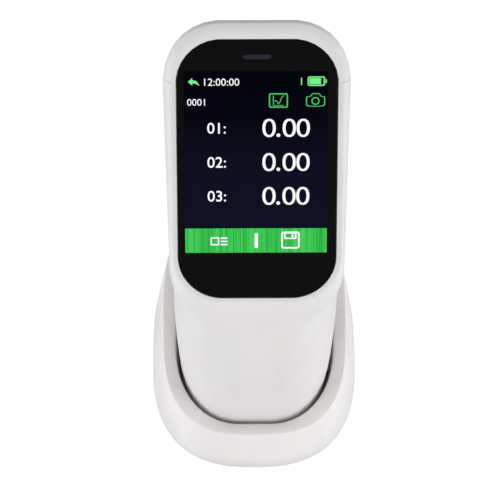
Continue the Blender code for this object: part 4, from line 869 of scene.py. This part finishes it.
def mark_power_button(material):
    """The usual open ring and line."""
    low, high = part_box("power_button")
    centre = ((low[0] + high[0]) / 2, high[1], (low[2] + high[2]) / 2)
    turn = Matrix(((-1, 0, 0), (0, 0, 1), (0, 1, 0))).to_4x4()
    ring = []
    for step in range(POWER_STEPS + 1):
        angle = POWER_START + POWER_SWEEP * step / POWER_STEPS
        ring.append((POWER_RADIUS * math.cos(angle), POWER_RADIUS * math.sin(angle)))
    sign = Picture("power_sign", material, 0)
    sign.fill(ribbon(ring, POWER_STROKE))
    sign.fill(ribbon(POWER_LINE, POWER_STROKE))
    sign.place(Matrix.Translation(centre) @ turn, "power_button", "power_button")


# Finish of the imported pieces

def smoothing(name, sharp_angle):
    """A node group that shades gentle bends as round and keeps real edges sharp."""
    group = bpy.data.node_groups.new(name, "GeometryNodeTree")
    group.interface.new_socket("Geometry", in_out="INPUT", socket_type="NodeSocketGeometry")
    group.interface.new_socket("Geometry", in_out="OUTPUT", socket_type="NodeSocketGeometry")
    start = group.nodes.new("NodeGroupInput")
    end = group.nodes.new("NodeGroupOutput")
    angle = group.nodes.new("GeometryNodeInputMeshEdgeAngle")
    sharp = group.nodes.new("FunctionNodeCompare")
    sharp.operation = "GREATER_THAN"
    sharp.inputs["B"].default_value = sharp_angle
    group.links.new(angle.outputs["Unsigned Angle"], sharp.inputs["A"])
    normal = group.nodes.new("GeometryNodeSetMeshNormal")
    normal.mode = "SHARPNESS"
    normal.inputs["Remove Custom"].default_value = True
    normal.inputs["Face Sharpness"].default_value = False
    group.links.new(start.outputs["Geometry"], normal.inputs["Mesh"])
    group.links.new(sharp.outputs["Result"], normal.inputs["Edge Sharpness"])
    group.links.new(normal.outputs["Mesh"], end.inputs["Geometry"])
    return group


def soften(node, group, edge):
    """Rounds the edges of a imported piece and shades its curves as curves."""
    weld = node.modifiers.new("weld", "WELD")
    weld.merge_threshold = WELD_DISTANCE
    flat = node.modifiers.new("whole_flats", "DECIMATE")
    flat.decimate_type = "DISSOLVE"
    flat.angle_limit = FLAT_ANGLE
    if edge:
        corner = node.modifiers.new("soft_edges", "BEVEL")
        corner.width = edge
        corner.segments = EDGE_STEPS
        corner.limit_method = "ANGLE"
        corner.angle_limit = SHARP_ANGLE
    shading = node.modifiers.new("round_shading", "NODES")
    shading.node_group = group


def shade_evenly(node):
    """Lets the broad faces of a piece keep their own shade next to small ones."""
    weights = node.modifiers.new("even_shading", "WEIGHTED_NORMAL")
    weights.mode = "FACE_AREA_WITH_ANGLE"
    weights.keep_sharp = True


def dress_nodes(frame, finishes):
    """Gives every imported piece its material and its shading."""
    crisp = smoothing("crisp_shading", SHARP_ANGLE)
    soft = smoothing("soft_shading", SOFT_ANGLE)
    for name, node in frame["nodes"].items():
        finish = next(FINISHES[start] for start in FINISHES if name.startswith(start))
        for slot in node.material_slots:
            slot.material = finishes[finish]
        if name == SOFT_PIECE:
            soften(node, soft, 0)
        else:
            soften(node, crisp, EDGES.get(name, 0))
            shade_evenly(node)


# The stage

def add_light(name, place, size, watts):
    light = bpy.data.lights.new(name, "AREA")
    light.shape = "RECTANGLE"
    light.size = size[0]
    light.size_y = size[1]
    light.energy = watts
    lamp = bpy.data.objects.new(name, light)
    lamp.location = place
    lamp.rotation_mode = "QUATERNION"
    lamp.rotation_quaternion = (LIGHT_TARGET - Vector(place)).to_track_quat("-Z", "Y")
    lamp.visible_camera = False
    lamp.visible_glossy = False
    bpy.context.scene.collection.objects.link(lamp)


def make_camera():
    camera = bpy.data.cameras.new("camera")
    camera.sensor_width = SENSOR
    camera.lens = FOCAL_PIXELS * SENSOR / IMAGE_WIDTH
    camera.clip_end = FARTHEST_VIEW
    back = Vector((
        math.sin(AZIMUTH) * math.cos(ELEVATION),
        -math.cos(AZIMUTH) * math.cos(ELEVATION),
        math.sin(ELEVATION),
    ))
    right = Vector((math.cos(AZIMUTH), math.sin(AZIMUTH), 0))
    up = back.cross(right)
    turn = Matrix((right, up, back)).transposed().to_4x4()
    turn = turn @ Matrix.Rotation(ROLL, 4, "Z")
    holder = bpy.data.objects.new("camera", camera)
    holder.matrix_world = Matrix.Translation(LOOK_AT + back * DISTANCE) @ turn
    bpy.context.scene.collection.objects.link(holder)
    bpy.context.scene.camera = holder


def make_world():
    """Soft light from all round, behind a ground that the camera sees as white."""
    world = bpy.data.worlds.new("studio")
    bpy.context.scene.world = world
    world.use_nodes = True
    tree = world.node_tree
    soft = tree.nodes["Background"]
    soft.inputs["Color"].default_value = WHITE
    soft.inputs["Strength"].default_value = WORLD_STRENGTH
    bright = tree.nodes.new("ShaderNodeBackground")
    bright.inputs["Color"].default_value = WHITE
    surface = camera_sees(tree, bright.outputs["Background"], soft.outputs["Background"])
    tree.links.new(surface, tree.nodes["World Output"].inputs["Surface"])


def make_floor():
    mesh = bpy.data.meshes.new("floor")
    corners = [
        (-FLOOR_REACH, -FLOOR_REACH, 0),
        (FLOOR_REACH, -FLOOR_REACH, 0),
        (FLOOR_REACH, FLOOR_REACH, 0),
        (-FLOOR_REACH, FLOOR_REACH, 0),
    ]
    mesh.from_pydata(corners, [], [(0, 1, 2, 3)])
    mesh.materials.append(floor_material())
    floor = bpy.data.objects.new("floor", mesh)
    bpy.context.scene.collection.objects.link(floor)


def make_stage():
    bpy.context.scene.view_settings.view_transform = "Standard"
    make_world()
    make_floor()
    for name, values in LIGHTS.items():
        add_light(name, *values)


def main():
    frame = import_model()
    make_camera()
    make_stage()
    finishes = make_finishes()
    make_strip(finishes["strip_plastic"])
    mark_power_button(finishes["button_print"])
    dress_nodes(frame, finishes)
    make_display()


main()
